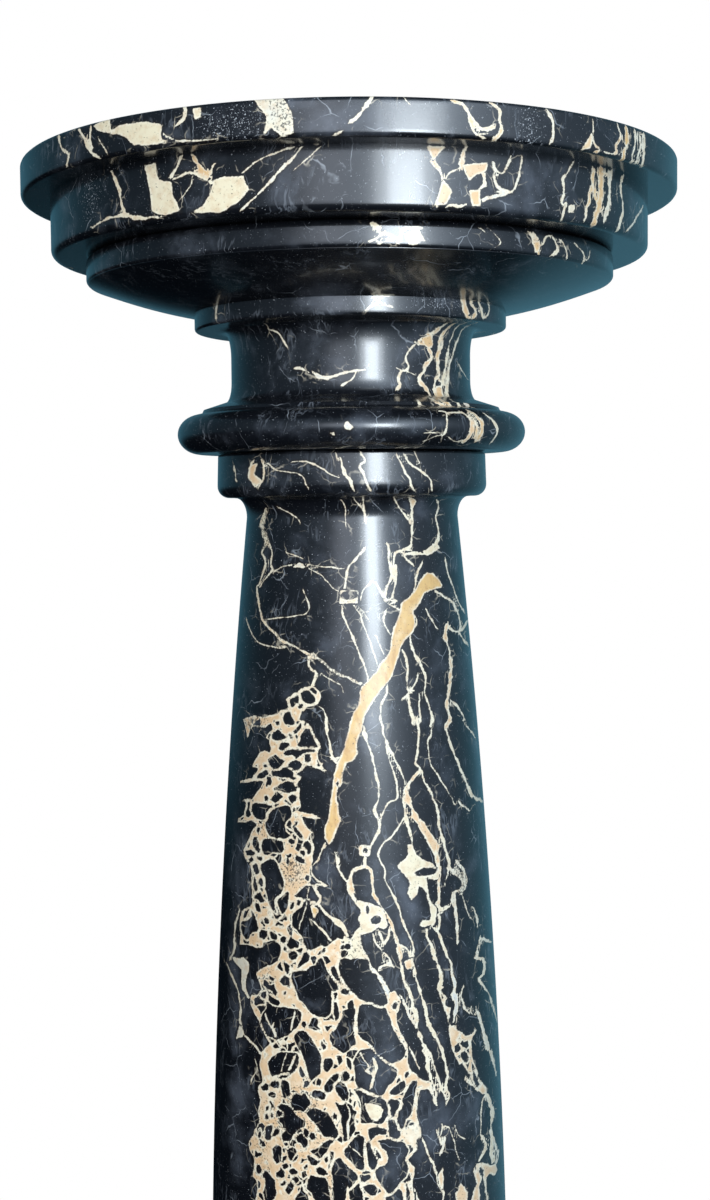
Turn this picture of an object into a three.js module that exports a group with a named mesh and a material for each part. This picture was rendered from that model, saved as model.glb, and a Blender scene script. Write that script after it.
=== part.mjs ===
// Pedestal column of black marble with gold and cream veins.
// Three turned pieces stand on each other: a round base, a tapering shaft and a stepped round capital.
// Millimetres, +Z up. The column stands on z = 0, centred on the Z axis.
import * as THREE from 'three';

// Driving dimensions
const HEIGHT = 1060;           // floor to the top face
const TOP_RADIUS = 150;        // the round top slab, 300 mm across
const PLINTH_RADIUS = 148;
const SIDES = 48;              // a multiple of four, so the outline reaches its full width on X and Y
const JOINT_GAP = 0.3;         // the bed between two pieces

// Capital, measured down from the top face
const TOP_SLAB = { radius: TOP_RADIUS, height: 15, edge: 1.6 };
const FASCIA = { radius: 137, height: 25.5, edge: 3 };
const THIRD_SLAB = { radius: 121.5, height: 11.5, edge: 3 };
const BELL = { drop: 13, swell: 1 };              // the sloping underside between third slab and collar
const COLLAR = { radius: 72.5, height: 8, edge: 1.2 };
const NECK = { radius: 55.8, cove: 3.2, upperCove: 12.8, lowerCove: 9.6, foot: 106 };
const SHOULDER = { outer: 69, lip: 70, foot: 111.5, lipHeight: 2.2 };
const TORUS = { base: 71, radius: 81.1, height: 18 };
const CAPITAL_HEIGHT = SHOULDER.foot + TORUS.height;

// Shaft, measured down from the top face
const BAND = { topRadius: 62, radius: 63, widest: 6.7, height: 20.2, edge: 5.5 };
const BAND_FOOT = CAPITAL_HEIGHT + JOINT_GAP + BAND.height;
const UPPER_COVE = { start: 54.5, height: 9 };
const SHAFT_TOP_RADIUS = 49.5;
const SHAFT_TAPER = 0.1;       // how fast the radius grows just below the upper cove
const SHAFT_FULL_RADIUS = 72;  // reached where the entasis dies into the plain lower shaft
const SHAFT_STEPS = 10;

// Foot of the shaft and base, measured up from the floor
const PLINTH = { radius: PLINTH_RADIUS, height: 38, edge: 3 };
const STEP = { radius: 124, height: 16, edge: 3 };
const BASE_TORUS = { base: 92, radius: 104, height: 26 };
const BASE_HEIGHT = PLINTH.height + STEP.height + BASE_TORUS.height;
const FOOT_BAND = { radius: 87, height: 14, edge: 3 };
const LOWER_COVE = { start: 79, height: 16 };
const BED_EDGE = 1;            // the barely eased corner where a piece meets the bed or the floor

const ARC_STEPS = 2;
const TORUS_STEPS = 8;
const COVE_STEPS = 5;

// Points of an ellipse quarter or half between two angles, in degrees
function arc(centreRadius, centreHeight, across, along, from, to, steps) {
  const points = [];
  for (let i = 0; i <= steps; i += 1) {
    const angle = THREE.MathUtils.degToRad(from + ((to - from) * i) / steps);
    const radius = centreRadius + across * Math.cos(angle);
    points.push(new THREE.Vector2(radius, centreHeight + along * Math.sin(angle)));
  }
  return points;
}

// A straight slab edge with both corners eased, listed from its top down
function slab(radius, top, bottom, upperEdge, lowerEdge) {
  return [
    ...arc(radius - upperEdge, top - upperEdge, upperEdge, upperEdge, 90, 0, ARC_STEPS),
    ...arc(radius - lowerEdge, bottom + lowerEdge, lowerEdge, lowerEdge, 0, -90, ARC_STEPS),
  ];
}

// A hollow quarter that runs from a wide radius into a narrow one
function cove(wide, wideHeight, narrow, narrowHeight) {
  const points = [];
  for (let i = 0; i <= COVE_STEPS; i += 1) {
    const angle = ((Math.PI / 2) * i) / COVE_STEPS;
    const radius = wide - (wide - narrow) * Math.sin(angle);
    const height = wideHeight + (narrowHeight - wideHeight) * (1 - Math.cos(angle));
    points.push(new THREE.Vector2(radius, height));
  }
  return points;
}

// Turns an outline about the column's axis. The outline runs from the top down to the axis below.
function turned(name, outline, colour) {
  const geometry = new THREE.LatheGeometry([...outline].reverse(), SIDES);
  geometry.rotateX(Math.PI / 2);
  const material = new THREE.MeshStandardMaterial({ color: colour, roughness: 0.15, metalness: 0 });
  const mesh = new THREE.Mesh(geometry, material);
  mesh.name = name;
  return mesh;
}

function capitalOutline() {
  const slabFoot = HEIGHT - TOP_SLAB.height;
  const fasciaFoot = slabFoot - FASCIA.height;
  const thirdFoot = fasciaFoot - THIRD_SLAB.height;
  const bellFoot = thirdFoot - BELL.drop;
  const collarFoot = bellFoot - COLLAR.height;
  const neckFoot = HEIGHT - NECK.foot;
  const shoulderFoot = HEIGHT - SHOULDER.foot;
  const torusFoot = HEIGHT - CAPITAL_HEIGHT;
  const torusMiddle = (shoulderFoot + torusFoot) / 2;
  const bellMiddle = (THIRD_SLAB.radius + COLLAR.radius) / 2;
  return [
    new THREE.Vector2(0, HEIGHT),
    ...slab(TOP_SLAB.radius, HEIGHT, slabFoot, TOP_SLAB.edge, TOP_SLAB.edge),
    new THREE.Vector2(FASCIA.radius, slabFoot),
    ...arc(FASCIA.radius - FASCIA.edge, fasciaFoot + FASCIA.edge, FASCIA.edge, FASCIA.edge, 0, -90, ARC_STEPS),
    ...slab(THIRD_SLAB.radius, fasciaFoot, thirdFoot, THIRD_SLAB.edge, THIRD_SLAB.edge / 2),
    new THREE.Vector2(bellMiddle, (thirdFoot + bellFoot) / 2 - BELL.swell),
    new THREE.Vector2(COLLAR.radius, bellFoot),
    ...arc(COLLAR.radius - COLLAR.edge, collarFoot + COLLAR.edge, COLLAR.edge, COLLAR.edge, 0, -90, ARC_STEPS),
    ...cove(NECK.radius + NECK.cove, collarFoot, NECK.radius, collarFoot - NECK.upperCove),
    ...cove(NECK.radius + NECK.cove, neckFoot, NECK.radius, neckFoot + NECK.lowerCove).reverse(),
    new THREE.Vector2(SHOULDER.outer, shoulderFoot + SHOULDER.lipHeight),
    new THREE.Vector2(SHOULDER.lip, shoulderFoot),
    ...arc(TORUS.base, torusMiddle, TORUS.radius - TORUS.base, TORUS.height / 2, 80, -90, TORUS_STEPS),
    new THREE.Vector2(0, torusFoot),
  ];
}

// Entasis: the radius follows a parabola whose top lies where the full radius is reached
function shaftRadius(below) {
  const gain = SHAFT_FULL_RADIUS - SHAFT_TOP_RADIUS;
  const reach = (2 * gain) / SHAFT_TAPER;
  const left = 1 - Math.min(below / reach, 1);
  return SHAFT_FULL_RADIUS - gain * left * left;
}

function shaftOutline() {
  const top = HEIGHT - CAPITAL_HEIGHT - JOINT_GAP;
  const bandFoot = HEIGHT - BAND_FOOT;
  const neck = bandFoot - UPPER_COVE.height;
  const foot = BASE_HEIGHT + JOINT_GAP;
  const footBandTop = foot + FOOT_BAND.height;
  const lowerCoveTop = footBandTop + LOWER_COVE.height;
  const entasis = [];
  for (let i = 1; i < SHAFT_STEPS; i += 1) {
    const height = neck + ((lowerCoveTop - neck) * i) / SHAFT_STEPS;
    entasis.push(new THREE.Vector2(shaftRadius(neck - height), height));
  }
  return [
    new THREE.Vector2(0, top),
    new THREE.Vector2(BAND.topRadius, top),
    new THREE.Vector2(BAND.radius, top - BAND.widest),
    ...arc(BAND.radius - BAND.edge, bandFoot + BAND.edge, BAND.edge, BAND.edge, 0, -90, ARC_STEPS),
    ...cove(UPPER_COVE.start, bandFoot, SHAFT_TOP_RADIUS, neck),
    ...entasis,
    ...cove(LOWER_COVE.start, footBandTop, SHAFT_FULL_RADIUS, lowerCoveTop).reverse(),
    ...slab(FOOT_BAND.radius, footBandTop, foot, FOOT_BAND.edge, BED_EDGE),
    new THREE.Vector2(0, foot),
  ];
}

function baseOutline() {
  const stepTop = PLINTH.height + STEP.height;
  const torusMiddle = stepTop + BASE_TORUS.height / 2;
  const swell = BASE_TORUS.radius - BASE_TORUS.base;
  return [
    new THREE.Vector2(0, BASE_HEIGHT),
    ...arc(BASE_TORUS.base, torusMiddle, swell, BASE_TORUS.height / 2, 90, -90, TORUS_STEPS),
    ...slab(STEP.radius, stepTop, PLINTH.height, STEP.edge, BED_EDGE),
    ...slab(PLINTH.radius, PLINTH.height, 0, PLINTH.edge, BED_EDGE),
    new THREE.Vector2(0, 0),
  ];
}

const column = new THREE.Group();
column.add(
  turned('capital', capitalOutline(), 0x22242c),
  turned('shaft', shaftOutline(), 0x1e2027),
  turned('base', baseOutline(), 0x202229),
);

export default column;
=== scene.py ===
# %% [markdown]
# # A pedestal column of black and gold marble
#
# The column is three turned blocks: a stepped round capital, a tapering shaft and a round base.
# A lathe cuts every member, so each block is one outline carried round an upright axis.
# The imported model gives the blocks' places, and this script dresses them in polished, veined stone.

import math

import bpy
import numpy as np
from mathutils import Matrix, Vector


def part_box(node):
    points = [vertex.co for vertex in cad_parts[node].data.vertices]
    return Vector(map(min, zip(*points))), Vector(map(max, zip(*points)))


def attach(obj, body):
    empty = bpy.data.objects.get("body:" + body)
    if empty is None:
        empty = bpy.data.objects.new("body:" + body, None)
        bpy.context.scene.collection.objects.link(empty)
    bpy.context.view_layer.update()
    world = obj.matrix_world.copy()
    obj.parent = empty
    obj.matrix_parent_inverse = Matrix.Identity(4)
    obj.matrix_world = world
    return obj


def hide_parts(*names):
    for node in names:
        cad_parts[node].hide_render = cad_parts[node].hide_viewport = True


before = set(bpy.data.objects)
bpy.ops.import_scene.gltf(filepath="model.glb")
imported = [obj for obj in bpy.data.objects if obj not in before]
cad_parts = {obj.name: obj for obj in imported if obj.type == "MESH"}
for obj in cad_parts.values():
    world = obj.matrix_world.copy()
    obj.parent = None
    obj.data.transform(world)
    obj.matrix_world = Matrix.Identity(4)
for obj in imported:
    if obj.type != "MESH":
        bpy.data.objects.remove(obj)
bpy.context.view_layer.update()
MM = 0.001
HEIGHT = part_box("capital")[1][2] / MM
print("column height in mm:", round(HEIGHT, 1))

# %% [markdown]
# ## The camera
#
# The photograph was taken from just under the capital, so the undersides of the slabs show.
# The camera below was fitted to the outline: the widest ring, the far edges of the undersides and the
# taper of the shaft settle its height, its distance and its slight tilt.
# The same numbers also turn a place in the picture into a place on the stone, further down.

# %% Camera and picture plane
PICTURE_WIDTH = 710
PICTURE_HEIGHT = 1200
FILM_HEIGHT = 36.0
LENS = 49.83
CAMERA_DISTANCE = 783.0 * MM
CAMERA_ASIDE = 0.9 * MM
CAMERA_BELOW_TOP = 151.4 * MM
CAMERA_PITCH = -0.0602
CAMERA_ROLL = -0.0101

camera_data = bpy.data.cameras.new("camera")
camera_data.sensor_fit = "VERTICAL"
camera_data.sensor_height = FILM_HEIGHT
camera_data.lens = LENS
camera = bpy.data.objects.new("camera", camera_data)
bpy.context.scene.collection.objects.link(camera)
camera_place = (CAMERA_ASIDE, -CAMERA_DISTANCE, HEIGHT * MM - CAMERA_BELOW_TOP)
camera.matrix_world = (
    Matrix.Translation(camera_place)
    @ Matrix.Rotation(math.pi / 2 + CAMERA_PITCH, 4, "X")
    @ Matrix.Rotation(CAMERA_ROLL, 4, "Z")
)
bpy.context.scene.camera = camera
camera_axes = np.array(camera.matrix_world.to_3x3())


def in_picture(points):
    """Picture columns and rows of points in metres.

    The points are turned into the camera's axes, divided by their depth, and counted from the top left."""
    local = (points - np.array(camera_place)) @ camera_axes
    focal = LENS / FILM_HEIGHT * PICTURE_HEIGHT
    columns = PICTURE_WIDTH / 2 - focal * local[..., 0] / local[..., 2]
    rows = PICTURE_HEIGHT / 2 + focal * local[..., 1] / local[..., 2]
    return columns, rows


# %% [markdown]
# ## Outlines
#
# A turner works from one outline. Here it is a list of named stretches, each a run of points
# (radius, height) from the top down: ledges, walls, eased corners, hollows and rings.
# The stretches that the photograph shows get a point about every millimetre, because the veins are
# later stored on these points. The odd tenths keep the first point of a stretch off the last point of
# the one before.

# %% Straight cuts
FINE = 1.05      # millimetres between points where the camera looks
MIDDLE = 2.5     # on undersides
COARSE = 14.0    # on hidden or plain stretches


def straight(start, end, step):
    """Points from start towards end, about one step apart. The end is left to the next stretch."""
    start, end = np.array(start, float), np.array(end, float)
    count = max(1, round(np.linalg.norm(end - start) / step))
    share = np.arange(count)[:, None] / count
    return start + (end - start) * share


def ledge(height, first, last, step):
    """A level cut at one height, from the first radius to the last."""
    return straight((first, height), (last, height), step)


def wall(radius, top, foot, step):
    """An upright cut at one radius."""
    return straight((radius, top), (radius, foot), step)


# %% Rounded cuts
def rounded(centre, across, along, first, last, count):
    """Part of an ellipse: centre + (across * cos, along * sin), between two angles in degrees."""
    angle = np.radians(np.linspace(first, last, count + 1))
    part = np.stack([across * np.cos(angle), along * np.sin(angle)], axis=1)
    return np.array(centre, float) + part


def corner(radius, height, edge, first, last, count):
    """An outer corner eased by an arc of radius edge. It is an upper corner if the first angle is above 0."""
    middle = height - edge if first > 0 else height + edge
    return rounded((radius - edge, middle), edge, edge, first, last, count)


def ring(inner, outer, top, foot, first, count):
    """A ring's bulge: half an ellipse between two heights, from the first angle down to -90 degrees."""
    return rounded((inner, (top + foot) / 2), outer - inner, (top - foot) / 2, first, -90, count)


def hollow(wide, narrow, count):
    """A hollow quarter from a wide (radius, height) into a narrow one, leaving the wide one level."""
    angle = np.linspace(0, math.pi / 2, count + 1)
    radius = wide[0] - (wide[0] - narrow[0]) * np.sin(angle)
    height = wide[1] + (narrow[1] - wide[1]) * (1 - np.cos(angle))
    return np.stack([radius, height], axis=1)


# %% [markdown]
# ### The capital
#
# Seen from below, the capital steps in three times. The slabs have upright faces with barely eased
# corners. The third slab's underside slopes down to a small collar, and under the neck a stepped
# shoulder leads to a squashed ring. All members are one block: the veins run on through them.

# %% Sizes of the capital
TOP_RADIUS = 150.0
TOP_EDGE = 1.6
TOP_LOWER_EDGE = 1.8
TOP_FOOT = HEIGHT - 15.0

FASCIA_RADIUS = 137.0
SLAB_EDGE = 3.0
FASCIA_FOOT = TOP_FOOT - 25.5

THIRD_RADIUS = 121.5
THIRD_LOWER_EDGE = 1.5
THIRD_FOOT = FASCIA_FOOT - 11.5
SLOPE_FOOT = THIRD_FOOT - 13.0
SLOPE_SWELL = 1.2

COLLAR_RADIUS = 72.5
COLLAR_EDGE = 1.2
COLLAR_FOOT = SLOPE_FOOT - 8.0

NECK_RADIUS = 55.8
NECK_FLARE = 3.2
UPPER_FLARE = 12.0
LOWER_FLARE = 9.6
NECK_FOOT = HEIGHT - 106.0

SHOULDER_RADIUS = 69.0
SHOULDER_LIP = 2.2
SHOULDER_FOOT = HEIGHT - 111.5

RING_INNER = 71.0
RING_RADIUS = 81.1
CAPITAL_FOOT = SHOULDER_FOOT - 18.0
print("capital foot in mm:", round(CAPITAL_FOOT, 1))


# %% Outline of the capital
def slope_underside():
    """The sloping underside: a straight cone with a shallow swell, largest half way in."""
    run = straight((THIRD_RADIUS - 1.0, THIRD_FOOT), (COLLAR_RADIUS, SLOPE_FOOT), 1.6)
    share = (run[:, 0] - COLLAR_RADIUS) / (THIRD_RADIUS - COLLAR_RADIUS)
    run[:, 1] -= SLOPE_SWELL * np.sin(math.pi * share)
    return run


neck_end = NECK_RADIUS + NECK_FLARE
lip_top = SHOULDER_FOOT + SHOULDER_LIP
third_wall = (FASCIA_FOOT - SLAB_EDGE - 0.2, THIRD_FOOT + THIRD_LOWER_EDGE + 0.2)
second_underside = (FASCIA_RADIUS - SLAB_EDGE - 1.0, THIRD_RADIUS - SLAB_EDGE)
capital_outline = [
    ("top face", ledge(HEIGHT, 0.0, TOP_RADIUS - TOP_EDGE, COARSE)),
    ("top slab", corner(TOP_RADIUS, HEIGHT, TOP_EDGE, 90, 10, 3)),
    ("top slab", wall(TOP_RADIUS, HEIGHT - TOP_EDGE - 0.2, TOP_FOOT + TOP_LOWER_EDGE, FINE)),
    ("top slab", corner(TOP_RADIUS, TOP_FOOT, TOP_LOWER_EDGE, 0, -90, 4)),
    ("first underside", ledge(TOP_FOOT, TOP_RADIUS - TOP_LOWER_EDGE - 0.6, FASCIA_RADIUS, MIDDLE)),
    ("fascia", wall(FASCIA_RADIUS, TOP_FOOT, FASCIA_FOOT + SLAB_EDGE + 0.2, FINE)),
    ("fascia", corner(FASCIA_RADIUS, FASCIA_FOOT, SLAB_EDGE, 0, -90, 5)),
    ("second underside", ledge(FASCIA_FOOT, *second_underside, MIDDLE)),
    ("third slab", corner(THIRD_RADIUS, FASCIA_FOOT, SLAB_EDGE, 90, 8, 4)),
    ("third slab", wall(THIRD_RADIUS, *third_wall, FINE)),
    ("third slab", corner(THIRD_RADIUS, THIRD_FOOT, THIRD_LOWER_EDGE, 0, -70, 3)),
    ("slope", slope_underside()),
    ("collar", wall(COLLAR_RADIUS, SLOPE_FOOT, COLLAR_FOOT + COLLAR_EDGE + 0.1, FINE)),
    ("collar", corner(COLLAR_RADIUS, COLLAR_FOOT, COLLAR_EDGE, 0, -90, 3)),
    ("neck", ledge(COLLAR_FOOT, COLLAR_RADIUS - COLLAR_EDGE - 0.8, neck_end, MIDDLE)),
    ("neck", hollow((neck_end, COLLAR_FOOT - 0.2), (NECK_RADIUS, COLLAR_FOOT - UPPER_FLARE), 9)),
    ("neck", wall(NECK_RADIUS, COLLAR_FOOT - UPPER_FLARE - 0.6, NECK_FOOT + LOWER_FLARE, FINE)),
    ("neck", hollow((neck_end, NECK_FOOT), (NECK_RADIUS, NECK_FOOT + LOWER_FLARE), 9)[::-1]),
    ("shoulder", straight((neck_end + 0.6, NECK_FOOT - 0.2), (SHOULDER_RADIUS, lip_top), 0.9)),
    ("shoulder", straight((SHOULDER_RADIUS, lip_top), (SHOULDER_RADIUS + 1, SHOULDER_FOOT), 0.8)),
    ("ring", ring(RING_INNER, RING_RADIUS, SHOULDER_FOOT, CAPITAL_FOOT, 84, 26)),
    ("bed", ledge(CAPITAL_FOOT, RING_INNER - 1.0, 0.0, COARSE)),
    ("bed", np.array([[0.0, CAPITAL_FOOT]])),
]
print("capital outline points:", sum(len(points) for name, points in capital_outline))

# %% [markdown]
# ### The shaft
#
# Below the ring, a band stands a little proud and a small hollow leads into the shaft.
# The shaft swells as a classical one does: its radius follows a parabola, steep below the hollow and
# upright where it reaches the full radius. The photograph ends less than half way down, so the lower
# shaft keeps a plain outline and stands on a band of its own.

# %% Sizes of the shaft
JOINT = 0.3
BAND_RADIUS = 63.0
BAND_TOP_RADIUS = 62.6
BAND_UPPER_EDGE = 1.2
BAND_LOWER_EDGE = 5.5
BAND_TOP = CAPITAL_FOOT - JOINT
BAND_FOOT = BAND_TOP - 20.2

HOLLOW_RADIUS = 54.5
HEAD_RADIUS = 49.5
SHAFT_HEAD = BAND_FOOT - 9.0
FULL_RADIUS = 72.0
TAPER = 0.1                      # how fast the radius grows just below the hollow
PICTURE_FOOT = HEIGHT - 492.0    # the picture's lower edge cuts the shaft a little above this

BASE_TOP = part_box("base")[1][2] / MM
SHAFT_FOOT = BASE_TOP + JOINT
FOOT_BAND_RADIUS = 87.0
FOOT_BAND_TOP = SHAFT_FOOT + 14.0
LOWER_HOLLOW_RADIUS = 79.0
LOWER_HOLLOW_TOP = FOOT_BAND_TOP + 16.0
BED_EDGE = 1.0
print("shaft from", round(SHAFT_FOOT, 1), "to", round(BAND_TOP, 1), "mm")


# %% Outline of the shaft
def swelling(head, foot, step):
    """The shaft's side: full radius - gain * (1 - distance below the head / reach) squared."""
    height = straight((0.0, head), (0.0, foot), step)[:, 1]
    gain = FULL_RADIUS - HEAD_RADIUS
    reach = 2 * gain / TAPER
    left = 1 - np.minimum((SHAFT_HEAD - height) / reach, 1)
    return np.stack([FULL_RADIUS - gain * left ** 2, height], axis=1)


band_head = (BAND_TOP_RADIUS, BAND_TOP - BAND_UPPER_EDGE - 0.2)
band_end = (BAND_RADIUS, BAND_FOOT + BAND_LOWER_EDGE + 0.2)
shaft_outline = [
    ("bed", ledge(BAND_TOP, 0.0, BAND_RADIUS - 2.0, COARSE)),
    ("band", corner(BAND_TOP_RADIUS, BAND_TOP, BAND_UPPER_EDGE, 90, 10, 3)),
    ("band", straight(band_head, band_end, FINE)),
    ("band", corner(BAND_RADIUS, BAND_FOOT, BAND_LOWER_EDGE, 0, -90, 8)),
    ("hollow", ledge(BAND_FOOT, BAND_RADIUS - BAND_LOWER_EDGE - 0.5, HOLLOW_RADIUS + 0.1, 1.2)),
    ("hollow", hollow((HOLLOW_RADIUS, BAND_FOOT - 0.1), (HEAD_RADIUS, SHAFT_HEAD), 11)),
    ("shaft", swelling(SHAFT_HEAD - 0.8, PICTURE_FOOT, FINE)),
    ("lower shaft", swelling(PICTURE_FOOT, LOWER_HOLLOW_TOP, 10.0)),
    ("foot", hollow((LOWER_HOLLOW_RADIUS, FOOT_BAND_TOP), (FULL_RADIUS, LOWER_HOLLOW_TOP), 10)[::-1]),
    ("foot", corner(FOOT_BAND_RADIUS, FOOT_BAND_TOP, SLAB_EDGE, 90, 0, 5)),
    ("foot", wall(FOOT_BAND_RADIUS, FOOT_BAND_TOP - SLAB_EDGE - 0.4, SHAFT_FOOT + BED_EDGE + 0.2, 3.0)),
    ("foot", corner(FOOT_BAND_RADIUS, SHAFT_FOOT, BED_EDGE, 0, -90, 3)),
    ("lower bed", ledge(SHAFT_FOOT, FOOT_BAND_RADIUS - 2.0, 0.0, COARSE)),
    ("lower bed", np.array([[0.0, SHAFT_FOOT]])),
]
print("shaft outline points:", sum(len(points) for name, points in shaft_outline))

# %% [markdown]
# ### The base
#
# The photograph never shows the base. A ring, a step and a round plinth repeat the capital's members
# in fewer steps, so the column stands nearly as wide as its top.

# %% Outline of the base
PLINTH_RADIUS = 148.0
STEP_RADIUS = 124.0
BASE_RING_INNER = 92.0
BASE_RING_RADIUS = 104.0
PLINTH_TOP = 38.0
STEP_TOP = PLINTH_TOP + 16.0

base_outline = [
    ("bed", ledge(BASE_TOP, 0.0, BASE_RING_INNER - 1.0, COARSE)),
    ("base ring", ring(BASE_RING_INNER, BASE_RING_RADIUS, BASE_TOP, STEP_TOP, 90, 22)),
    ("step", ledge(STEP_TOP, BASE_RING_INNER + 1.0, STEP_RADIUS - SLAB_EDGE, 4.0)),
    ("step", corner(STEP_RADIUS, STEP_TOP, SLAB_EDGE, 90, 0, 5)),
    ("step", wall(STEP_RADIUS, STEP_TOP - SLAB_EDGE - 0.4, PLINTH_TOP, 3.0)),
    ("plinth", ledge(PLINTH_TOP, STEP_RADIUS, PLINTH_RADIUS - SLAB_EDGE, 4.0)),
    ("plinth", corner(PLINTH_RADIUS, PLINTH_TOP, SLAB_EDGE, 90, 0, 5)),
    ("plinth", wall(PLINTH_RADIUS, PLINTH_TOP - SLAB_EDGE - 0.4, BED_EDGE + 0.2, 3.0)),
    ("plinth", corner(PLINTH_RADIUS, 0.0, BED_EDGE, 0, -90, 3)),
    ("underside", ledge(0.0, PLINTH_RADIUS - 2.0, 0.0, COARSE)),
    ("underside", np.array([[0.0, 0.0]])),
]
print("base outline points:", sum(len(points) for name, points in base_outline))

# %% [markdown]
# ## Turning the blocks
#
# A lathe could be copied with the Screw modifier. Worked out as one grid instead, every point keeps
# its two parameters, the turn round the axis and the length along the outline, and the veins need both.
# The front has closer columns than the back, because only there do drawn veins lie.

# %% Columns round the axis
FRONT_HALF = math.radians(92.0)
SLANT = 0.45      # columns spread out towards the sides until they are seen this much foreshortened


def turns(front_count, back_count):
    """Angles round the axis, 0 facing the camera and growing to the right, closer over the front.

    Over the front their spacing is 1 / max(cos angle, SLANT), which looks even from the camera."""
    fine = np.linspace(-FRONT_HALF, FRONT_HALF, 2000)
    weight = np.cumsum(np.maximum(np.cos(fine), SLANT))
    share = np.linspace(weight[0], weight[-1], front_count, endpoint=False)
    front = np.interp(share, weight, fine)
    back = np.linspace(FRONT_HALF, 2 * math.pi - FRONT_HALF, back_count, endpoint=False)
    return np.concatenate([front, back])


# %% The turned surface
SHARP_ANGLE = math.radians(38.0)


class Block:
    """A turned block: place = (radius * sin turn, -radius * cos turn, height) over turn and outline."""

    def __init__(self, name, outline, angles):
        points = np.concatenate([run for label, run in outline])
        labels = np.concatenate([[label] * len(run) for label, run in outline])
        steps = np.linalg.norm(np.diff(points, axis=0), axis=1)
        length = np.concatenate([[0.0], np.cumsum(steps)])
        rows = len(points) - 2
        self.name = name
        self.angles, self.row_along = angles, length[1:-1]
        self.turn = np.tile(angles, rows)
        self.radius = np.repeat(points[1:-1, 0], len(angles))
        self.along = np.repeat(length[1:-1], len(angles))
        self.member = np.repeat(labels[1:-1], len(angles))
        height = np.repeat(points[1:-1, 1], len(angles))
        sideways, forwards = self.radius * np.sin(self.turn), self.radius * np.cos(self.turn)
        surface = np.stack([sideways, -forwards, height], axis=1) * MM
        self.columns, self.rows = in_picture(surface)
        poles = np.array([[0.0, 0.0, points[0, 1]], [0.0, 0.0, points[-1, 1]]]) * MM
        self.mesh = self.grid(np.concatenate([surface, poles]), rows, len(angles))

    def grid(self, points, rows, columns):
        """Quads between neighbouring rows and a fan of triangles round each pole, all facing outwards."""
        index = np.arange(rows * columns).reshape(rows, columns)
        after = np.roll(index, -1, axis=1)
        quads = np.stack([index[1:], after[1:], after[:-1], index[:-1]], axis=-1).reshape(-1, 4)
        top, bottom = rows * columns, rows * columns + 1
        upper = np.stack([np.full(columns, top), index[0], after[0]], axis=1)
        lower = np.stack([np.full(columns, bottom), after[-1], index[-1]], axis=1)
        mesh = bpy.data.meshes.new(self.name + " stone")
        mesh.from_pydata(points.tolist(), [], quads.tolist() + upper.tolist() + lower.tolist())
        mesh.polygons.foreach_set("use_smooth", np.ones(len(mesh.polygons), bool))
        mesh.set_sharp_from_angle(angle=SHARP_ANGLE)
        return mesh

    def store(self, name, values):
        """One number for each point of the grid, kept as an attribute. A pole gets its neighbour's."""
        attribute = self.mesh.attributes.new(name, "FLOAT", "POINT")
        attribute.data.foreach_set("value", np.concatenate([values, values[[0, -1]]]).astype(np.float32))


# %% The three blocks
capital = Block("capital", capital_outline, turns(front_count=400, back_count=60))
shaft = Block("shaft", shaft_outline, turns(front_count=190, back_count=28))
base = Block("base", base_outline, turns(front_count=100, back_count=60))
for block in (capital, shaft, base):
    print(block.name, "triangles:", sum(len(face.vertices) - 2 for face in block.mesh.polygons))

# %% [markdown]
# ## Veins, drawn on the stone
#
# The bold veins are drawn one by one, as a mason would chalk them on a block. A vein is a route over the
# surface with a width. Its places were read off the photograph, column and row, and they are
# carried to the stone: each goes to the nearest point of the named member that the camera sees.
#
# Colours could be painted on the points, but then no edge would be sharper than the mesh.
# So what the mesh keeps is a distance: how far each point lies from the nearest vein.
# A distance changes evenly from point to point, so the shader can cut an edge from it that is
# finer than the mesh, and can roughen it.

# %% Smooth noise for bending the veins
LATTICE = 64


def smooth_noise(x, y, size, seed):
    """Numbers from -1 to 1 on a square lattice of the given size, blended by 3 t^2 - 2 t^3 between."""
    lattice = np.random.default_rng(seed).uniform(-1, 1, (LATTICE, LATTICE))
    column, row = np.floor(x / size).astype(int), np.floor(y / size).astype(int)
    across, up = x / size - column, y / size - row
    across, up = across ** 2 * (3 - 2 * across), up ** 2 * (3 - 2 * up)
    node = lambda right, above: lattice[(column + right) % LATTICE, (row + above) % LATTICE]
    low = node(0, 0) * (1 - across) + node(1, 0) * across
    high = node(0, 1) * (1 - across) + node(1, 1) * across
    return low * (1 - up) + high * up


def bends(x, y, seed):
    """Millimetres by which a vein leaves its route: a slow bend and a quick one, added."""
    return smooth_noise(x, y, 8.0, seed) * 0.3 + smooth_noise(x, y, 3.1, seed + 1) * 0.35


# %% Routes
def places(text):
    """Picture places written as 'column,row column,row ...'."""
    return np.array([[float(number) for number in pair.split(",")] for pair in text.split()])


def eased(route, parts=3):
    """A route with its bends rounded: each stretch becomes a Catmull-Rom curve of a few parts.

    p(t) = (2 b + (c - a) t + (2 a - 5 b + 4 c - d) t^2 + (3 b - a - 3 c + d) t^3) / 2."""
    padded = np.concatenate([route[:1], route, route[-1:]])
    a, b, c, d = (padded[i:len(padded) - 3 + i, None] for i in range(4))
    t = (np.arange(parts) / parts)[None, :, None]
    squared, cubed = 2 * a - 5 * b + 4 * c - d, 3 * b - a - 3 * c + d
    curve = (2 * b + (c - a) * t + squared * t ** 2 + cubed * t ** 3) / 2
    return np.concatenate([curve.reshape(-1, route.shape[1]), route[-1:]])
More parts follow.
